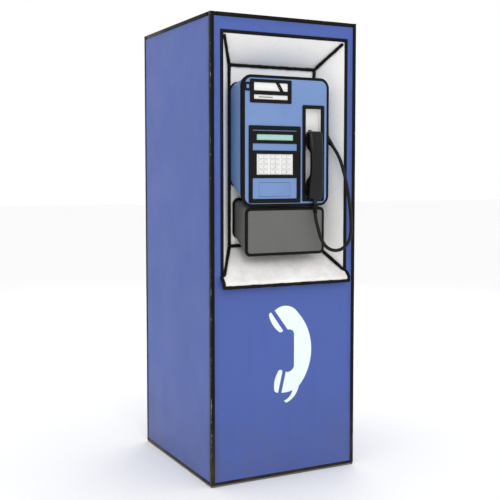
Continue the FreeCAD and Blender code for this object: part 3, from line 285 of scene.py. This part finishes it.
def frame_black():
    finish = Finish("frame_black", colour(9, 9, 10), 0.42)
    finish.set(Specular_IOR_Level=0.12)
    clouds(finish, 0.25)
    chips = finish.noise(45.0, 7.0, roughness=0.75)
    places = finish.noise(5.0, 2.0)
    widest = 0.006
    reach = finish.math(
        "MULTIPLY", finish.fade(chips, 0.5, 0.72, 0.0, widest), finish.fade(places, 0.5, 0.66)
    )
    worn = finish.math("LESS_THAN", edge_closeness(finish), reach)
    finish.over(worn, colour(120, 118, 116))
    splash(finish, 0.30, 0.5, DIRT)
    finish.rough(finish.noise(12.0, 4.0), 0.34, 0.55)
    finish.bump(finish.noise(900.0, 2.0), 0.00012, 0.6)
    return finish.material


def surround_grey():
    finish = Finish("surround_grey", colour(243, 242, 240), 0.45)
    clouds(finish, 0.07)
    rain_streaks(finish, 0.16, colour(176, 172, 164))
    scuffs = finish.noise(1.0, 6.0, finish.stretched((9.0, 30.0, 60.0)), 0.7)
    finish.over(finish.fade(scuffs, 0.64, 0.70, 0.0, 0.30), GRIME)
    sill_rear = BOARD_LOW.z + BOARD_MARGIN
    spread = 0.05
    settled = finish.fade(finish.axis("Z"), sill_rear - spread, sill_rear + spread, 1.0, 0.0)
    dust = finish.fade(finish.noise(16.0, 6.0, roughness=0.65), 0.4, 0.72)
    finish.over(finish.math("MULTIPLY", finish.math("MULTIPLY", settled, dust), 0.22), DIRT)
    specks(finish, 230.0, colour(186, 184, 180), 0.73)
    finish.rough(finish.noise(9.0, 5.0), 0.36, 0.56)
    orange_peel(finish)
    finish.set(Specular_IOR_Level=0.35)
    return finish.material


def phone_blue():
    finish = Finish("phone_blue", colour(109, 138, 188), 0.42)
    clouds(finish, 0.09)
    handled = finish.noise(26.0, 6.0, roughness=0.65)
    finish.over(finish.fade(handled, 0.56, 0.75, 0.0, 0.26), shade(finish.base, 0.6))
    scratches = finish.noise(1.0, 8.0, finish.stretched((30.0, 60.0, 260.0)), 0.8)
    finish.over(finish.fade(scratches, 0.68, 0.71, 0.0, 0.45), shade(finish.base, 1.45))
    specks(finish, 300.0, shade(finish.base, 1.3), 0.73)
    finish.rough(finish.noise(11.0, 5.0), 0.32, 0.52)
    finish.bump(finish.noise(700.0, 3.0), 0.00016, 0.7)
    finish.set(Specular_IOR_Level=0.36, Coat_Weight=0.06, Coat_Roughness=0.2)
    return finish.material


def vault_grey():
    finish = Finish("vault_grey", colour(93, 93, 91), 0.55)
    clouds(finish, 0.14)
    scratches = finish.noise(1.0, 8.0, finish.stretched((18.0, 200.0, 240.0)), 0.75)
    finish.over(finish.fade(scratches, 0.66, 0.70, 0.0, 0.5), colour(150, 150, 150))
    specks(finish, 520.0, colour(82, 82, 81), 0.66)
    finish.rough(finish.noise(14.0, 5.0), 0.45, 0.68)
    finish.bump(finish.noise(650.0, 4.0), 0.0003, 0.8)
    return finish.material


def black_moulding(name, roughness, grain, depth):
    """Moulded black plastic or rubber, rubbed grey in places."""
    finish = Finish(name, colour(8, 8, 9), roughness)
    finish.set(Specular_IOR_Level=0.16)
    clouds(finish, 0.3)
    rubs = finish.noise(34.0, 6.0, roughness=0.7)
    finish.over(finish.fade(rubs, 0.6, 0.78, 0.0, 0.35), colour(48, 48, 50))
    finish.rough(finish.noise(18.0, 5.0), roughness - 0.1, roughness + 0.12)
    finish.bump(finish.noise(grain, 3.0), depth, 0.7)
    return finish


def black_plastic():
    return black_moulding("black_plastic", 0.46, 1500.0, 0.00012).material


def handset_black():
    finish = black_moulding("handset_black", 0.3, 700.0, 0.00005)
    finish.set(Coat_Weight=0.25, Coat_Roughness=0.14)
    return finish.material


def black_rubber():
    return black_moulding("black_rubber", 0.68, 1100.0, 0.0002).material


def cord_black():
    """Rubbed sheath with a fine grain."""
    finish = Finish("cord_black", colour(8, 8, 9), 0.5)
    finish.set(Specular_IOR_Level=0.24)
    clouds(finish, 0.3)
    rubs = finish.noise(60.0, 5.0, roughness=0.7)
    finish.over(finish.fade(rubs, 0.58, 0.76, 0.0, 0.35), colour(66, 66, 68))
    finish.rough(finish.noise(30.0, 4.0), 0.38, 0.62)
    finish.bump(finish.noise(1200.0, 2.0), 0.00012, 0.5)
    return finish.material


def pale_moulding(name, base, roughness):
    """Moulded pale plastic, soiled by hands in places."""
    finish = Finish(name, base, roughness)
    clouds(finish, 0.05)
    handled = finish.noise(40.0, 6.0, roughness=0.65)
    finish.over(finish.fade(handled, 0.60, 0.78, 0.0, 0.30), colour(168, 163, 152))
    finish.rough(finish.noise(24.0, 5.0), roughness - 0.08, roughness + 0.12)
    finish.bump(finish.noise(1300.0, 3.0), 0.00008, 0.6)
    return finish


def white_plastic():
    return pale_moulding("white_plastic", colour(231, 231, 229), 0.45).material


def key_white():
    finish = pale_moulding("key_white", colour(222, 222, 220), 0.34)
    finish.set(Coat_Weight=0.3, Coat_Roughness=0.15)
    return finish.material


def sign_white():
    finish = pale_moulding("sign_white", colour(229, 241, 244), 0.3)
    splash(finish, 0.5, 0.12, DIRT)
    finish.set(Coat_Weight=0.4, Coat_Roughness=0.1)
    return finish.material


def digit_grey():
    finish = Finish("digit_grey", colour(58, 60, 66), 0.5)
    wear = finish.noise(300.0, 5.0)
    finish.over(finish.fade(wear, 0.55, 0.8, 0.0, 0.6), colour(170, 170, 168))
    finish.bump(finish.noise(2000.0, 2.0), 0.00003, 0.5)
    return finish.material


def display_green():
    """Liquid crystal face: rows of character cells, faintly darker, under a clear gloss."""
    low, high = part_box("display_glass")
    finish = Finish("display_green", colour(159, 203, 192), 0.22)
    clouds(finish, 0.06)
    columns, rows = 16, 2
    dots_across, dots_up = 6.0, 8.0
    margin_x, margin_z = 0.004, 0.002
    column_share, row_share, dot_share = 0.84, 0.86, 0.86
    strength = 0.13
    across = finish.fade(finish.axis("X"), low.x + margin_x, high.x - margin_x, 0.0, columns)
    up = finish.fade(finish.axis("Z"), low.z + margin_z, high.z - margin_z, 0.0, rows)
    in_column = finish.in_repeat(across, column_share)
    in_row = finish.in_repeat(up, row_share)
    dot_x = finish.in_repeat(finish.math("MULTIPLY", across, dots_across), dot_share)
    dot_z = finish.in_repeat(finish.math("MULTIPLY", up, dots_up), dot_share)
    dot = finish.math("MULTIPLY", dot_x, dot_z)
    cell = finish.math("MULTIPLY", finish.math("MULTIPLY", in_column, in_row), dot)
    finish.over(finish.math("MULTIPLY", cell, strength), colour(96, 134, 124))
    finish.rough(finish.noise(60.0, 4.0), 0.10, 0.24)
    finish.bump(finish.noise(30.0, 1.0), 0.00005, 0.4)
    finish.set(Coat_Weight=0.8, Coat_Roughness=0.05)
    return finish.material


def bright_steel():
    """Brushed steel of pins, screws and locks, with some staining."""
    finish = Finish("bright_steel", colour(186, 188, 190), 0.3, 1.0)
    grain = finish.noise(1.0, 4.0, finish.stretched((900.0, 900.0, 40.0)), 0.7)
    finish.over(finish.fade(grain, 0.35, 0.7, 0.0, 0.35), shade(finish.base, 0.6))
    stains = finish.noise(60.0, 5.0)
    finish.over(finish.fade(stains, 0.62, 0.8, 0.0, 0.4), colour(104, 92, 80))
    finish.rough(grain, 0.22, 0.45)
    finish.bump(grain, 0.00005, 0.6)
    return finish.material


def zinc_steel():
    finish = Finish("zinc_steel", colour(96, 98, 100), 0.6)
    clouds(finish, 0.2)
    spangle = finish.noise(120.0, 3.0)
    finish.over(finish.fade(spangle, 0.5, 0.7, 0.0, 0.35), colour(132, 134, 136))
    splash(finish, 0.05, 0.6, DIRT)
    finish.rough(spangle, 0.5, 0.72)
    finish.bump(spangle, 0.0001, 0.6)
    return finish.material


def circuit_board():
    finish = Finish("circuit_board", colour(40, 96, 60), 0.4)
    tracks = finish.noise(1.0, 2.0, finish.stretched((240.0, 1.0, 60.0)))
    finish.over(finish.fade(tracks, 0.55, 0.58, 0.0, 0.5), colour(70, 128, 84))
    finish.rough(finish.noise(50.0, 3.0), 0.32, 0.5)
    finish.bump(tracks, 0.00005, 0.6)
    return finish.material


def inner_plastic():
    return pale_moulding("inner_plastic", colour(150, 150, 146), 0.5).material


finishes = {
    maker.__name__: maker() for maker in (
        cabinet_blue, frame_black, surround_grey, phone_blue, vault_grey, black_plastic,
        handset_black, black_rubber, cord_black, white_plastic, key_white, sign_white,
        display_green, bright_steel, zinc_steel, circuit_board, inner_plastic, digit_grey,
    )
}
NODE_SLOT = {row["node"]: row["material_slot"] for row in frame["record"]["subparts"]}


def dress(obj, name):
    """Gives a piece one material on all its faces."""
    obj.data.materials.clear()
    obj.data.materials.append(finishes[name])


def dress_nodes():
    """Gives each CAD node the finish that its material slot names."""
    for name, obj in nodes.items():
        finish = finishes[NODE_SLOT[name]]
        for socket in obj.material_slots:
            socket.material = finish
        if not obj.material_slots:
            obj.data.materials.append(finish)


# ---------------------------------------------------------------- mesh helpers
FRAME_EDGE = 0.0012         # rounding on the frame's edges
TRIM_EDGE = 0.0006          # and on the smaller pieces that get it


def add_object(name, mesh, material):
    """Puts a piece in the scene, with its finish."""
    obj = bpy.data.objects.new(name, mesh)
    bpy.context.scene.collection.objects.link(obj)
    dress(obj, material)
    return obj


def tube_mesh(name, points, radii, sides, closed=False):
    """Tube along points, one radius per point: a closed ring, or with flat closed ends."""
    mesh = bmesh.new()
    count = len(points)
    rings = []
    side = None
    for index, point in enumerate(points):
        if closed:
            before, after = points[index - 1], points[(index + 1) % count]
        else:
            before, after = points[max(index - 1, 0)], points[min(index + 1, count - 1)]
        ahead = (after - before).normalized()
        if side is None:
            side = ahead.orthogonal().normalized()
        side = (side - ahead * side.dot(ahead)).normalized()
        other = ahead.cross(side)
        ring = []
        for step in range(sides):
            angle = 2 * math.pi * step / sides
            offset = side * math.cos(angle) + other * math.sin(angle)
            ring.append(mesh.verts.new(point + offset * radii[index]))
        rings.append(ring)
    spans = count if closed else count - 1
    for index in range(spans):
        ring, following = rings[index], rings[(index + 1) % count]
        for step in range(sides):
            after = (step + 1) % sides
            mesh.faces.new((ring[step], ring[after], following[after], following[step]))
    if not closed:
        mesh.faces.new(list(reversed(rings[0])))
        mesh.faces.new(rings[-1])
    bmesh.ops.recalc_face_normals(mesh, faces=mesh.faces)
    for face in mesh.faces:
        face.smooth = len(face.verts) == 4
    data = bpy.data.meshes.new(name)
    mesh.to_mesh(data)
    mesh.free()
    return data


def softened(name, width):
    """Makes a copy of a CAD node with small rounded edges, which stands for it."""
    flat_angle = math.radians(0.5)
    sharp_angle = math.radians(30)
    source = nodes[name]
    mesh = bmesh.new()
    mesh.from_mesh(source.data)
    bmesh.ops.remove_doubles(mesh, verts=mesh.verts, dist=2e-6)
    bmesh.ops.dissolve_limit(
        mesh, angle_limit=flat_angle, verts=mesh.verts, edges=mesh.edges
    )
    sharp = [
        edge for edge in mesh.edges
        if len(edge.link_faces) == 2 and edge.calc_face_angle() > sharp_angle
    ]
    bmesh.ops.bevel(
        mesh, geom=sharp, offset=width, offset_type="OFFSET", segments=2,
        profile=0.5, affect="EDGES", clamp_overlap=True,
    )
    for face in mesh.faces:
        face.smooth = True
    data = bpy.data.meshes.new(name + "_finished")
    mesh.to_mesh(data)
    mesh.free()
    data.set_sharp_from_angle(angle=math.radians(40))
    slot = NODE_SLOT[name]
    obj = add_object(name + "_finished", data, slot)
    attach(obj, source["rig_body"])
    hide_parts(name)


# ---------------------------------------------------------------- sealant in the recess
SILL_BEAD = 0.0062          # radius of the rubber edging round the sill
BEAD = 0.0058               # radius of the black sealant beads
BEAD_INSET = 0.0042         # the beads' centres stand this far off the recess's faces
BEAD_WAVER = 0.00025        # how far a hand-laid bead strays from its line
GASKET_SHADOW_LINE = 0.0062             # radius of the gaskets on the backboard, whose black line is also a painted shadow round the phone and the vault
VAULT_BEAD = 0.0060         # radius of the rubber bead round the vault's front


def wandering(points):
    """The same line with many more points and a hand-laid waver across it."""
    spacing = 0.006
    dense = []
    for start, end in zip(points, points[1:]):
        steps = max(2, round((end - start).length / spacing))
        for step in range(steps):
            dense.append(start.lerp(end, step / steps))
    dense.append(points[-1])
    waved = []
    for index, point in enumerate(dense):
        shift = Vector((math.sin(index * 0.9), math.sin(index * 0.53), math.sin(index * 0.71)))
        waved.append(point + shift * BEAD_WAVER)
    return waved


def bead(name, points, radius=BEAD):
    """Bead along a line, a little uneven in thickness and thinner at its ends."""
    line = wandering(points)
    radii = [
        radius * (1 + 0.05 * math.sin(i * 0.37) + 0.04 * math.sin(i * 1.3))
        for i in range(len(line))
    ]
    end_share = 0.8
    radii[0] *= end_share
    radii[-1] *= end_share
    obj = add_object(name, tube_mesh(name, line, radii, 12), "black_rubber")
    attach(obj, "cabinet")


def corners(half, low, high, y):
    """The four corners of an upright rectangle, in order round it."""
    return {
        "low_left": Vector((-half, y, low)),
        "high_left": Vector((-half, y, high)),
        "high_right": Vector((half, y, high)),
        "low_right": Vector((half, y, low)),
    }


def recess_beads():
    """Beads on the throat's four edges and the upper mitres, and the sill's edging."""
    back_x = BOARD_HIGH.x - BOARD_MARGIN - BEAD_INSET
    back_low = BOARD_LOW.z + BOARD_MARGIN + BEAD_INSET
    back_high = BOARD_HIGH.z - BOARD_MARGIN - BEAD_INSET
    back_y = BOARD_LOW.y - BEAD_INSET
    mouth_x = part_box("surround_top")[1].x - BEAD_INSET
    mouth_low = MOUTH_LOW + BEAD_INSET
    mouth_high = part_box("surround_left")[1].z - BEAD_INSET
    set_back = 0.0025
    mouth_y = at(set_back)
    backs = corners(back_x, back_low, back_high, back_y)
    mouths = corners(mouth_x, mouth_low, mouth_high, mouth_y)
    mitre_start = 0.02
    for corner in ("high_left", "high_right"):
        start = mouths[corner].lerp(backs[corner], mitre_start)
        bead("mitre_bead_" + corner, [start, backs[corner]])
    order = list(backs)
    for first, second in zip(order, order[1:] + order[:1]):
        bead("throat_bead_%s_%s" % (first, second), [backs[first], backs[second]])
    sill_low, sill_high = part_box("sill")
    slope = (back_low - mouth_low) / (back_y - mouth_y)
    tuck = 0.001
    end_x = sill_high.x - tuck
    lip_y = sill_low.y + tuck
    rear_y = at(-3 * tuck)
    foot = sill_low.z + 2 * tuck

    def sill_edge(side, corner):
        """From the throat out along the sill's side and down the end of its apron."""
        return [
            backs[corner], mouths[corner],
            Vector((side * end_x, rear_y, MOUTH_LOW - slope * (mouth_y - rear_y))),
            Vector((side * end_x, lip_y, MOUTH_LOW - slope * (mouth_y - lip_y))),
            Vector((side * end_x, lip_y, foot)),
        ]

    left = sill_edge(-1, "low_left")
    right = sill_edge(1, "low_right")
    bead("sill_edging", left + list(reversed(right)), SILL_BEAD)


def rounded_loop(half, low, high, radius, y):
    """Points round a rectangle with rounded corners that faces the front."""
    centres = (
        (half - radius, low + radius, -90), (half - radius, high - radius, 0),
        (-half + radius, high - radius, 90), (-half + radius, low + radius, 180),
    )
    steps = 8
    loop = []
    for x, z, start in centres:
        for step in range(steps + 1):
            angle = math.radians(start + 90 * step / steps)
            loop.append(Vector((x + radius * math.cos(angle), y, z + radius * math.sin(angle))))
    return loop


def rubber_loop(name, loop, radius):
    """Closed rubber bead along a loop on the cabinet."""
    mesh = tube_mesh(name, loop, [radius] * len(loop), 12, closed=True)
    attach(add_object(name, mesh, "black_rubber"), "cabinet")


def vault_edging():
    """Rubber bead round the rim of the vault's front, as the phone has."""
    low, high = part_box("vault_housing")
    inset = 0.0040
    rim = at(0.0034)
    corner = VAULT_REAR[3] - inset
    loop = rounded_loop(high.x - inset, low.z + inset, VAULT_FRONT_HIGH - inset, corner, rim)
    rubber_loop("vault_edging", loop, VAULT_BEAD)


def gaskets_as_shadow_lines():
    """Beads that seal the phone and the vault against the backboard; their black line round each
    is also a painted shadow, the shade that the phone and the vault cast on the backboard.
    """
    proud = 0.0040
    seat = BOARD_LOW.y - proud
    # painted shadow: black beads round the rear of the phone and of the vault, a seal that also
    # draws their shade on the backboard
    rubber_loop("phone_gasket_shadow_line", rounded_loop(*PHONE_REAR, seat), GASKET_SHADOW_LINE)
    rubber_loop("vault_gasket_shadow_line", rounded_loop(*VAULT_REAR, seat), GASKET_SHADOW_LINE)


# ---------------------------------------------------------------- keypad
DIGITS = {
    "1": "1", "2": "2", "3": "3", "4": "4", "5": "5", "6": "6",
    "7": "7", "8": "8", "9": "9", "star": "*", "0": "0", "hash": "#",
}


def key_digit(name, text):
    """The digit moulded on a key's face, standing a little proud of it."""
    low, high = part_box("key_" + name)
    star_size, usual_size = 0.01275, 0.009775       # a font's star is small for its size
    relief = 0.0003
    curve = bpy.data.curves.new("digit_" + name, "FONT")
    curve.body = text
    curve.size = star_size if name == "star" else usual_size
    curve.extrude = relief / 2
    curve.align_x = "CENTER"
    curve.resolution_u = 3
    text_obj = bpy.data.objects.new("digit_" + name, curve)
    bpy.context.scene.collection.objects.link(text_obj)
    bpy.context.view_layer.update()
    evaluated = text_obj.evaluated_get(bpy.context.evaluated_depsgraph_get())
    mesh = bpy.data.meshes.new_from_object(evaluated)
    bpy.data.objects.remove(text_obj)
    xs = [v.co.x for v in mesh.vertices]
    ys = [v.co.y for v in mesh.vertices]
    middle = Vector(((min(xs) + max(xs)) / 2, (min(ys) + max(ys)) / 2, 0))
    upright = Matrix.Rotation(math.radians(90), 4, "X")
    face = Vector(((low.x + high.x) / 2, low.y, (low.z + high.z) / 2))
    mesh.transform(Matrix.Translation(face) @ upright @ Matrix.Translation(-middle))
    obj = add_object("digit_" + name, mesh, "digit_grey")
    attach(obj, "key_" + name)


# ---------------------------------------------------------------- handset
HANDSET_X = 0.1095          # across the cabinet, at the handset's middle
HANDSET_LOW = 1.006         # its foot
HANDSET_HIGH = 1.252        # and its top
BLOCK_HALF = 0.028          # half width at the ear and the mouth
GRIP_HALF = 0.0235          # and at the middle of the grip
GRIP_LOW = (1.070, 1.100)   # the lower block turns into the grip between these heights
GRIP_HIGH = (1.172, 1.200)  # and the grip into the upper block
FACE = 0.006                # depth of the faces that lie in the cradle
GRIP_HOLLOW = 0.026         # the grip's rear stands this far in front of them
CHIN = -0.0115              # depth of the foot's rear
CHIN_HIGH = 1.018           # below this the foot stays in front of the cradle's trim
SPINE = -0.0425             # depth of the front at mid length
BOW = 0.0125                # the front's ends draw back by this much


def smooth(value, start, end):
    """0 before start, 1 after end, and an even turn between them."""
    share = min(1.0, max(0.0, (value - start) / (end - start)))
    return share * share * (3 - 2 * share)


def corner_drop(gap, radius):
    """How far a rounded end has drawn in, that near to the end."""
    if gap >= radius:
        return 0.0
    return radius - math.sqrt(radius * radius - (radius - gap) ** 2)


def handset_section(z):
    """Half width, front depth and rear depth of the handset at a height."""
    middle = (HANDSET_LOW + HANDSET_HIGH) / 2
    half = (HANDSET_HIGH - HANDSET_LOW) / 2
    offset = (z - middle) / half
    gap = min(z - HANDSET_LOW, HANDSET_HIGH - z)
    in_grip = smooth(z, *GRIP_LOW) * (1 - smooth(z, *GRIP_HIGH))
    side_radius, front_radius, rear_radius = 0.011, 0.009, 0.006
    wide = BLOCK_HALF - (BLOCK_HALF - GRIP_HALF) * in_grip - corner_drop(gap, side_radius)
    front = SPINE + BOW * offset * offset + corner_drop(gap, front_radius)
    rear = FACE - GRIP_HOLLOW * in_grip
    if z < CHIN_HIGH:
        rear = CHIN
    rear -= corner_drop(HANDSET_HIGH - z, rear_radius)
    return wide, front, rear


def handset_heights():
    """Heights of the sections, close together where the form turns."""
    ends = [0.0, 0.0004, 0.0014, 0.003, 0.005, 0.0075, 0.0105]
    low = [HANDSET_LOW + gap for gap in ends]
    high = [HANDSET_HIGH - gap for gap in reversed(ends)]
    step = 0.003
    count = int((high[0] - CHIN_HIGH) / step)
    chin = [CHIN_HIGH - 0.0001, CHIN_HIGH + 0.0003]
    body = [CHIN_HIGH + step * (i + 1) for i in range(count - 1)]
    return low + chin + body + high


def handset_shell():
    """Grip lofted through rounded sections: two blocks with a slimmer bow between them."""
    mesh = bmesh.new()
    around = 56
    squareness = 4.2        # 2 would make the sections ellipses, more makes them squarer
    power = 2 / squareness
    rings = []
    for z in handset_heights():
        wide, front, rear = handset_section(z)
        middle = (front + rear) / 2
        deep = (rear - front) / 2
        ring = []
        for step in range(around):
            angle = 2 * math.pi * step / around
            across = math.copysign(abs(math.cos(angle)) ** power, math.cos(angle))
            along = math.copysign(abs(math.sin(angle)) ** power, math.sin(angle))
            ring.append(mesh.verts.new((HANDSET_X + wide * across, at(middle + deep * along), z)))
        rings.append(ring)
    for ring, following in zip(rings, rings[1:]):
        for step in range(around):
            after = (step + 1) % around
            mesh.faces.new((ring[step], ring[after], following[after], following[step]))
    mesh.faces.new(list(reversed(rings[0])))
    mesh.faces.new(rings[-1])
    bmesh.ops.recalc_face_normals(mesh, faces=mesh.faces)
    for face in mesh.faces:
        face.smooth = True
    data = bpy.data.meshes.new("handset_grip")
    mesh.to_mesh(data)
    mesh.free()
    data.set_sharp_from_angle(angle=math.radians(50))
    grip = add_object("handset_grip", data, "handset_black")
    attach(grip, "handset")
    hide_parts("handset_shell")


def handset_neck():
    """Ribbed collar that the cord enters, under the handset's foot."""
    low = 0.9912
    high = HANDSET_LOW + 0.004
    depth = -0.020
    foot_radius, widening, groove_depth = 0.0082, 0.0012, 0.0007
    count = 24
    line = []
    radii = []
    for index in range(count + 1):
        share = index / count
        line.append(Vector((HANDSET_X, at(depth), low + (high - low) * share)))
        groove = groove_depth if index % 4 == 2 else 0.0
        radii.append(foot_radius + widening * share - groove)
    mesh = tube_mesh("handset_neck", line, radii, 28)
    neck = add_object("handset_neck", mesh, "handset_black")
    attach(neck, "handset")


# ---------------------------------------------------------------- cord
CORD_DIAMETER = 0.013
CORD_ROUTE = [              # x, depth, z, from the gland to the handset's neck
    (0.20058, 0.01472, 1.20683),
    (0.2180, -0.0049, 1.1720),
    (0.2290, -0.0240, 1.1120),
    (0.2390, -0.0360, 1.0460),
    (0.2460, -0.0430, 0.9780),
    (0.2490, -0.0470, 0.9160),
    (0.2450, -0.0500, 0.8670),
    (0.2220, -0.0520, 0.8330),
    (0.1830, -0.0530, 0.8190),
    (0.1430, -0.0520, 0.8300),
    (0.1190, -0.0480, 0.8630),
    (0.1115, -0.0390, 0.9040),
    (0.1090, -0.0225, 0.9480),
    (0.1095, -0.0200, 0.9902),
]


def cord_line():
    """Points along the cord's centreline: one smooth curve on its route."""
    curve = bpy.data.curves.new("cord_route", "CURVE")
    curve.dimensions = "3D"
    spline = curve.splines.new("NURBS")
    spline.points.add(len(CORD_ROUTE) - 1)
    for point, (x, depth, z) in zip(spline.points, CORD_ROUTE):
        point.co = (x, at(depth), z, 1.0)
    spline.order_u = 3
    spline.use_endpoint_u = True
    spline.resolution_u = 12
    obj = bpy.data.objects.new("cord_route", curve)
    bpy.context.scene.collection.objects.link(obj)
    bpy.context.view_layer.update()
    evaluated = obj.evaluated_get(bpy.context.evaluated_depsgraph_get())
    mesh = bpy.data.meshes.new_from_object(evaluated)
    points = [v.co.copy() for v in mesh.vertices]
    bpy.data.objects.remove(obj)
    bpy.data.meshes.remove(mesh)
    return points


def even(points, step):
    """Points spaced evenly along a line, ends included."""
    lengths = [0.0]
    for before, after in zip(points, points[1:]):
        lengths.append(lengths[-1] + (after - before).length)
    count = round(lengths[-1] / step)
    spaced = []
    index = 0
    for number in range(count + 1):
        goal = lengths[-1] * number / count
        while index < len(lengths) - 2 and lengths[index + 1] < goal:
            index += 1
        span = lengths[index + 1] - lengths[index]
        spaced.append(points[index].lerp(points[index + 1], (goal - lengths[index]) / span))
    return spaced


def handset_cord():
    """Black cord with a shallow winding, which hangs in a loop from the gland to the handset."""
    step, winding, groove = 0.0011, 0.0033, 0.0003
    route = cord_line()
    line = even(route, step)
    radii = []
    for index in range(len(line)):
        turn = math.sin(2 * math.pi * index * step / winding)
        radii.append(CORD_DIAMETER / 2 - groove + groove * turn)
    mesh = tube_mesh("handset_cord_sheath", line, radii, 20)
    cord = add_object("handset_cord_sheath", mesh, "cord_black")
    sleeve = cord_sleeve(line)
    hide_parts("handset_cord")
    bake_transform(cord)


def cord_sleeve(line):
    """Tapered, ribbed sleeve on the cord under the handset's neck."""
    length = 0.034
    root_radius, taper, rib_height, rib_pitch = 0.0086, 0.0018, 0.0006, 0.006
    spots = []
    radii = []
    travelled = 0.0
    previous = line[-1]
    for point in reversed(line):
        travelled += (point - previous).length
        previous = point
        if travelled > length:
            break
        share = travelled / length
        rib = rib_height if math.sin(2 * math.pi * travelled / rib_pitch) > 0 else 0.0
        spots.append(point)
        radii.append(root_radius - taper * share + rib)
    mesh = tube_mesh("cord_sleeve", spots, radii, 20)
    sleeve = add_object("cord_sleeve", mesh, "black_rubber")
    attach(sleeve, "handset")
    return sleeve


# ---------------------------------------------------------------- studio
def area_light(name, place, power):
    """Soft square light that looks at the middle of the cabinet."""
    size = 2.6
    aim = (0.0, -0.2, 0.9)
    light = bpy.data.lights.new(name, "AREA")
    light.shape = "SQUARE"
    light.size = size
    light.energy = power
    obj = bpy.data.objects.new(name, light)
    obj.location = place
    obj.rotation_euler = (Vector(aim) - Vector(place)).to_track_quat("-Z", "Y").to_euler()
    bpy.context.scene.collection.objects.link(obj)


def studio():
    """Pale floor just under the cabinet, white surroundings and three soft lights."""
    half = 30.0
    floor_gap = 0.0005
    mesh = bpy.data.meshes.new("floor")
    outline = [(-half, -half, 0), (half, -half, 0), (half, half, 0), (-half, half, 0)]
    mesh.from_pydata(outline, [], [(0, 1, 2, 3)])
    floor = bpy.data.objects.new("floor", mesh)
    floor.location.z = -floor_gap
    bpy.context.scene.collection.objects.link(floor)
    paint = Finish("floor_pale", colour(250, 250, 250), 0.8)
    paint.bump(paint.noise(60.0, 4.0), 0.0004, 0.3)
    floor.data.materials.append(paint.material)
    world = bpy.data.worlds.new("studio")
    world.use_nodes = True
    sky = world.node_tree.nodes["Background"]
    sky.inputs["Color"].default_value = (1.0, 1.0, 1.0, 1.0)
    sky.inputs["Strength"].default_value = 1.0
    bpy.context.scene.world = world
    area_light("key_light", (-1.2, -4.2, 3.4), 48.0)
    area_light("side_light", (-4.4, -0.8, 2.2), 5.0)
    area_light("rear_light", (2.6, 3.4, 3.0), 30.0)
    bpy.context.scene.view_settings.view_transform = "Standard"


def camera():
    """View from the front left, at about two thirds of the cabinet's height."""
    data = bpy.data.cameras.new("camera")
    data.lens = 64.5
    data.sensor_width = 36.0
    data.shift_y = -0.0285
    obj = bpy.data.objects.new("camera", data)
    obj.location = (-1.571, -3.116, 1.089)
    yaw = 27.03
    pitch = 3.77
    obj.rotation_euler = (math.radians(90 - pitch), 0, math.radians(-yaw))
    bpy.context.scene.collection.objects.link(obj)
    bpy.context.scene.camera = obj


# ---------------------------------------------------------------- build
dress_nodes()
recess_beads()
vault_edging()
gaskets_as_shadow_lines()
for key_name, key_text in DIGITS.items():
    key_digit(key_name, key_text)
handset_shell()
handset_neck()
handset_cord()
softened("cabinet_frame", FRAME_EDGE)
for trim in ("sill", "coin_bezel", "instrument_bezel", "cradle_trim", "return_flap", "edge_trim"):
    softened(trim, TRIM_EDGE)
studio()
camera()
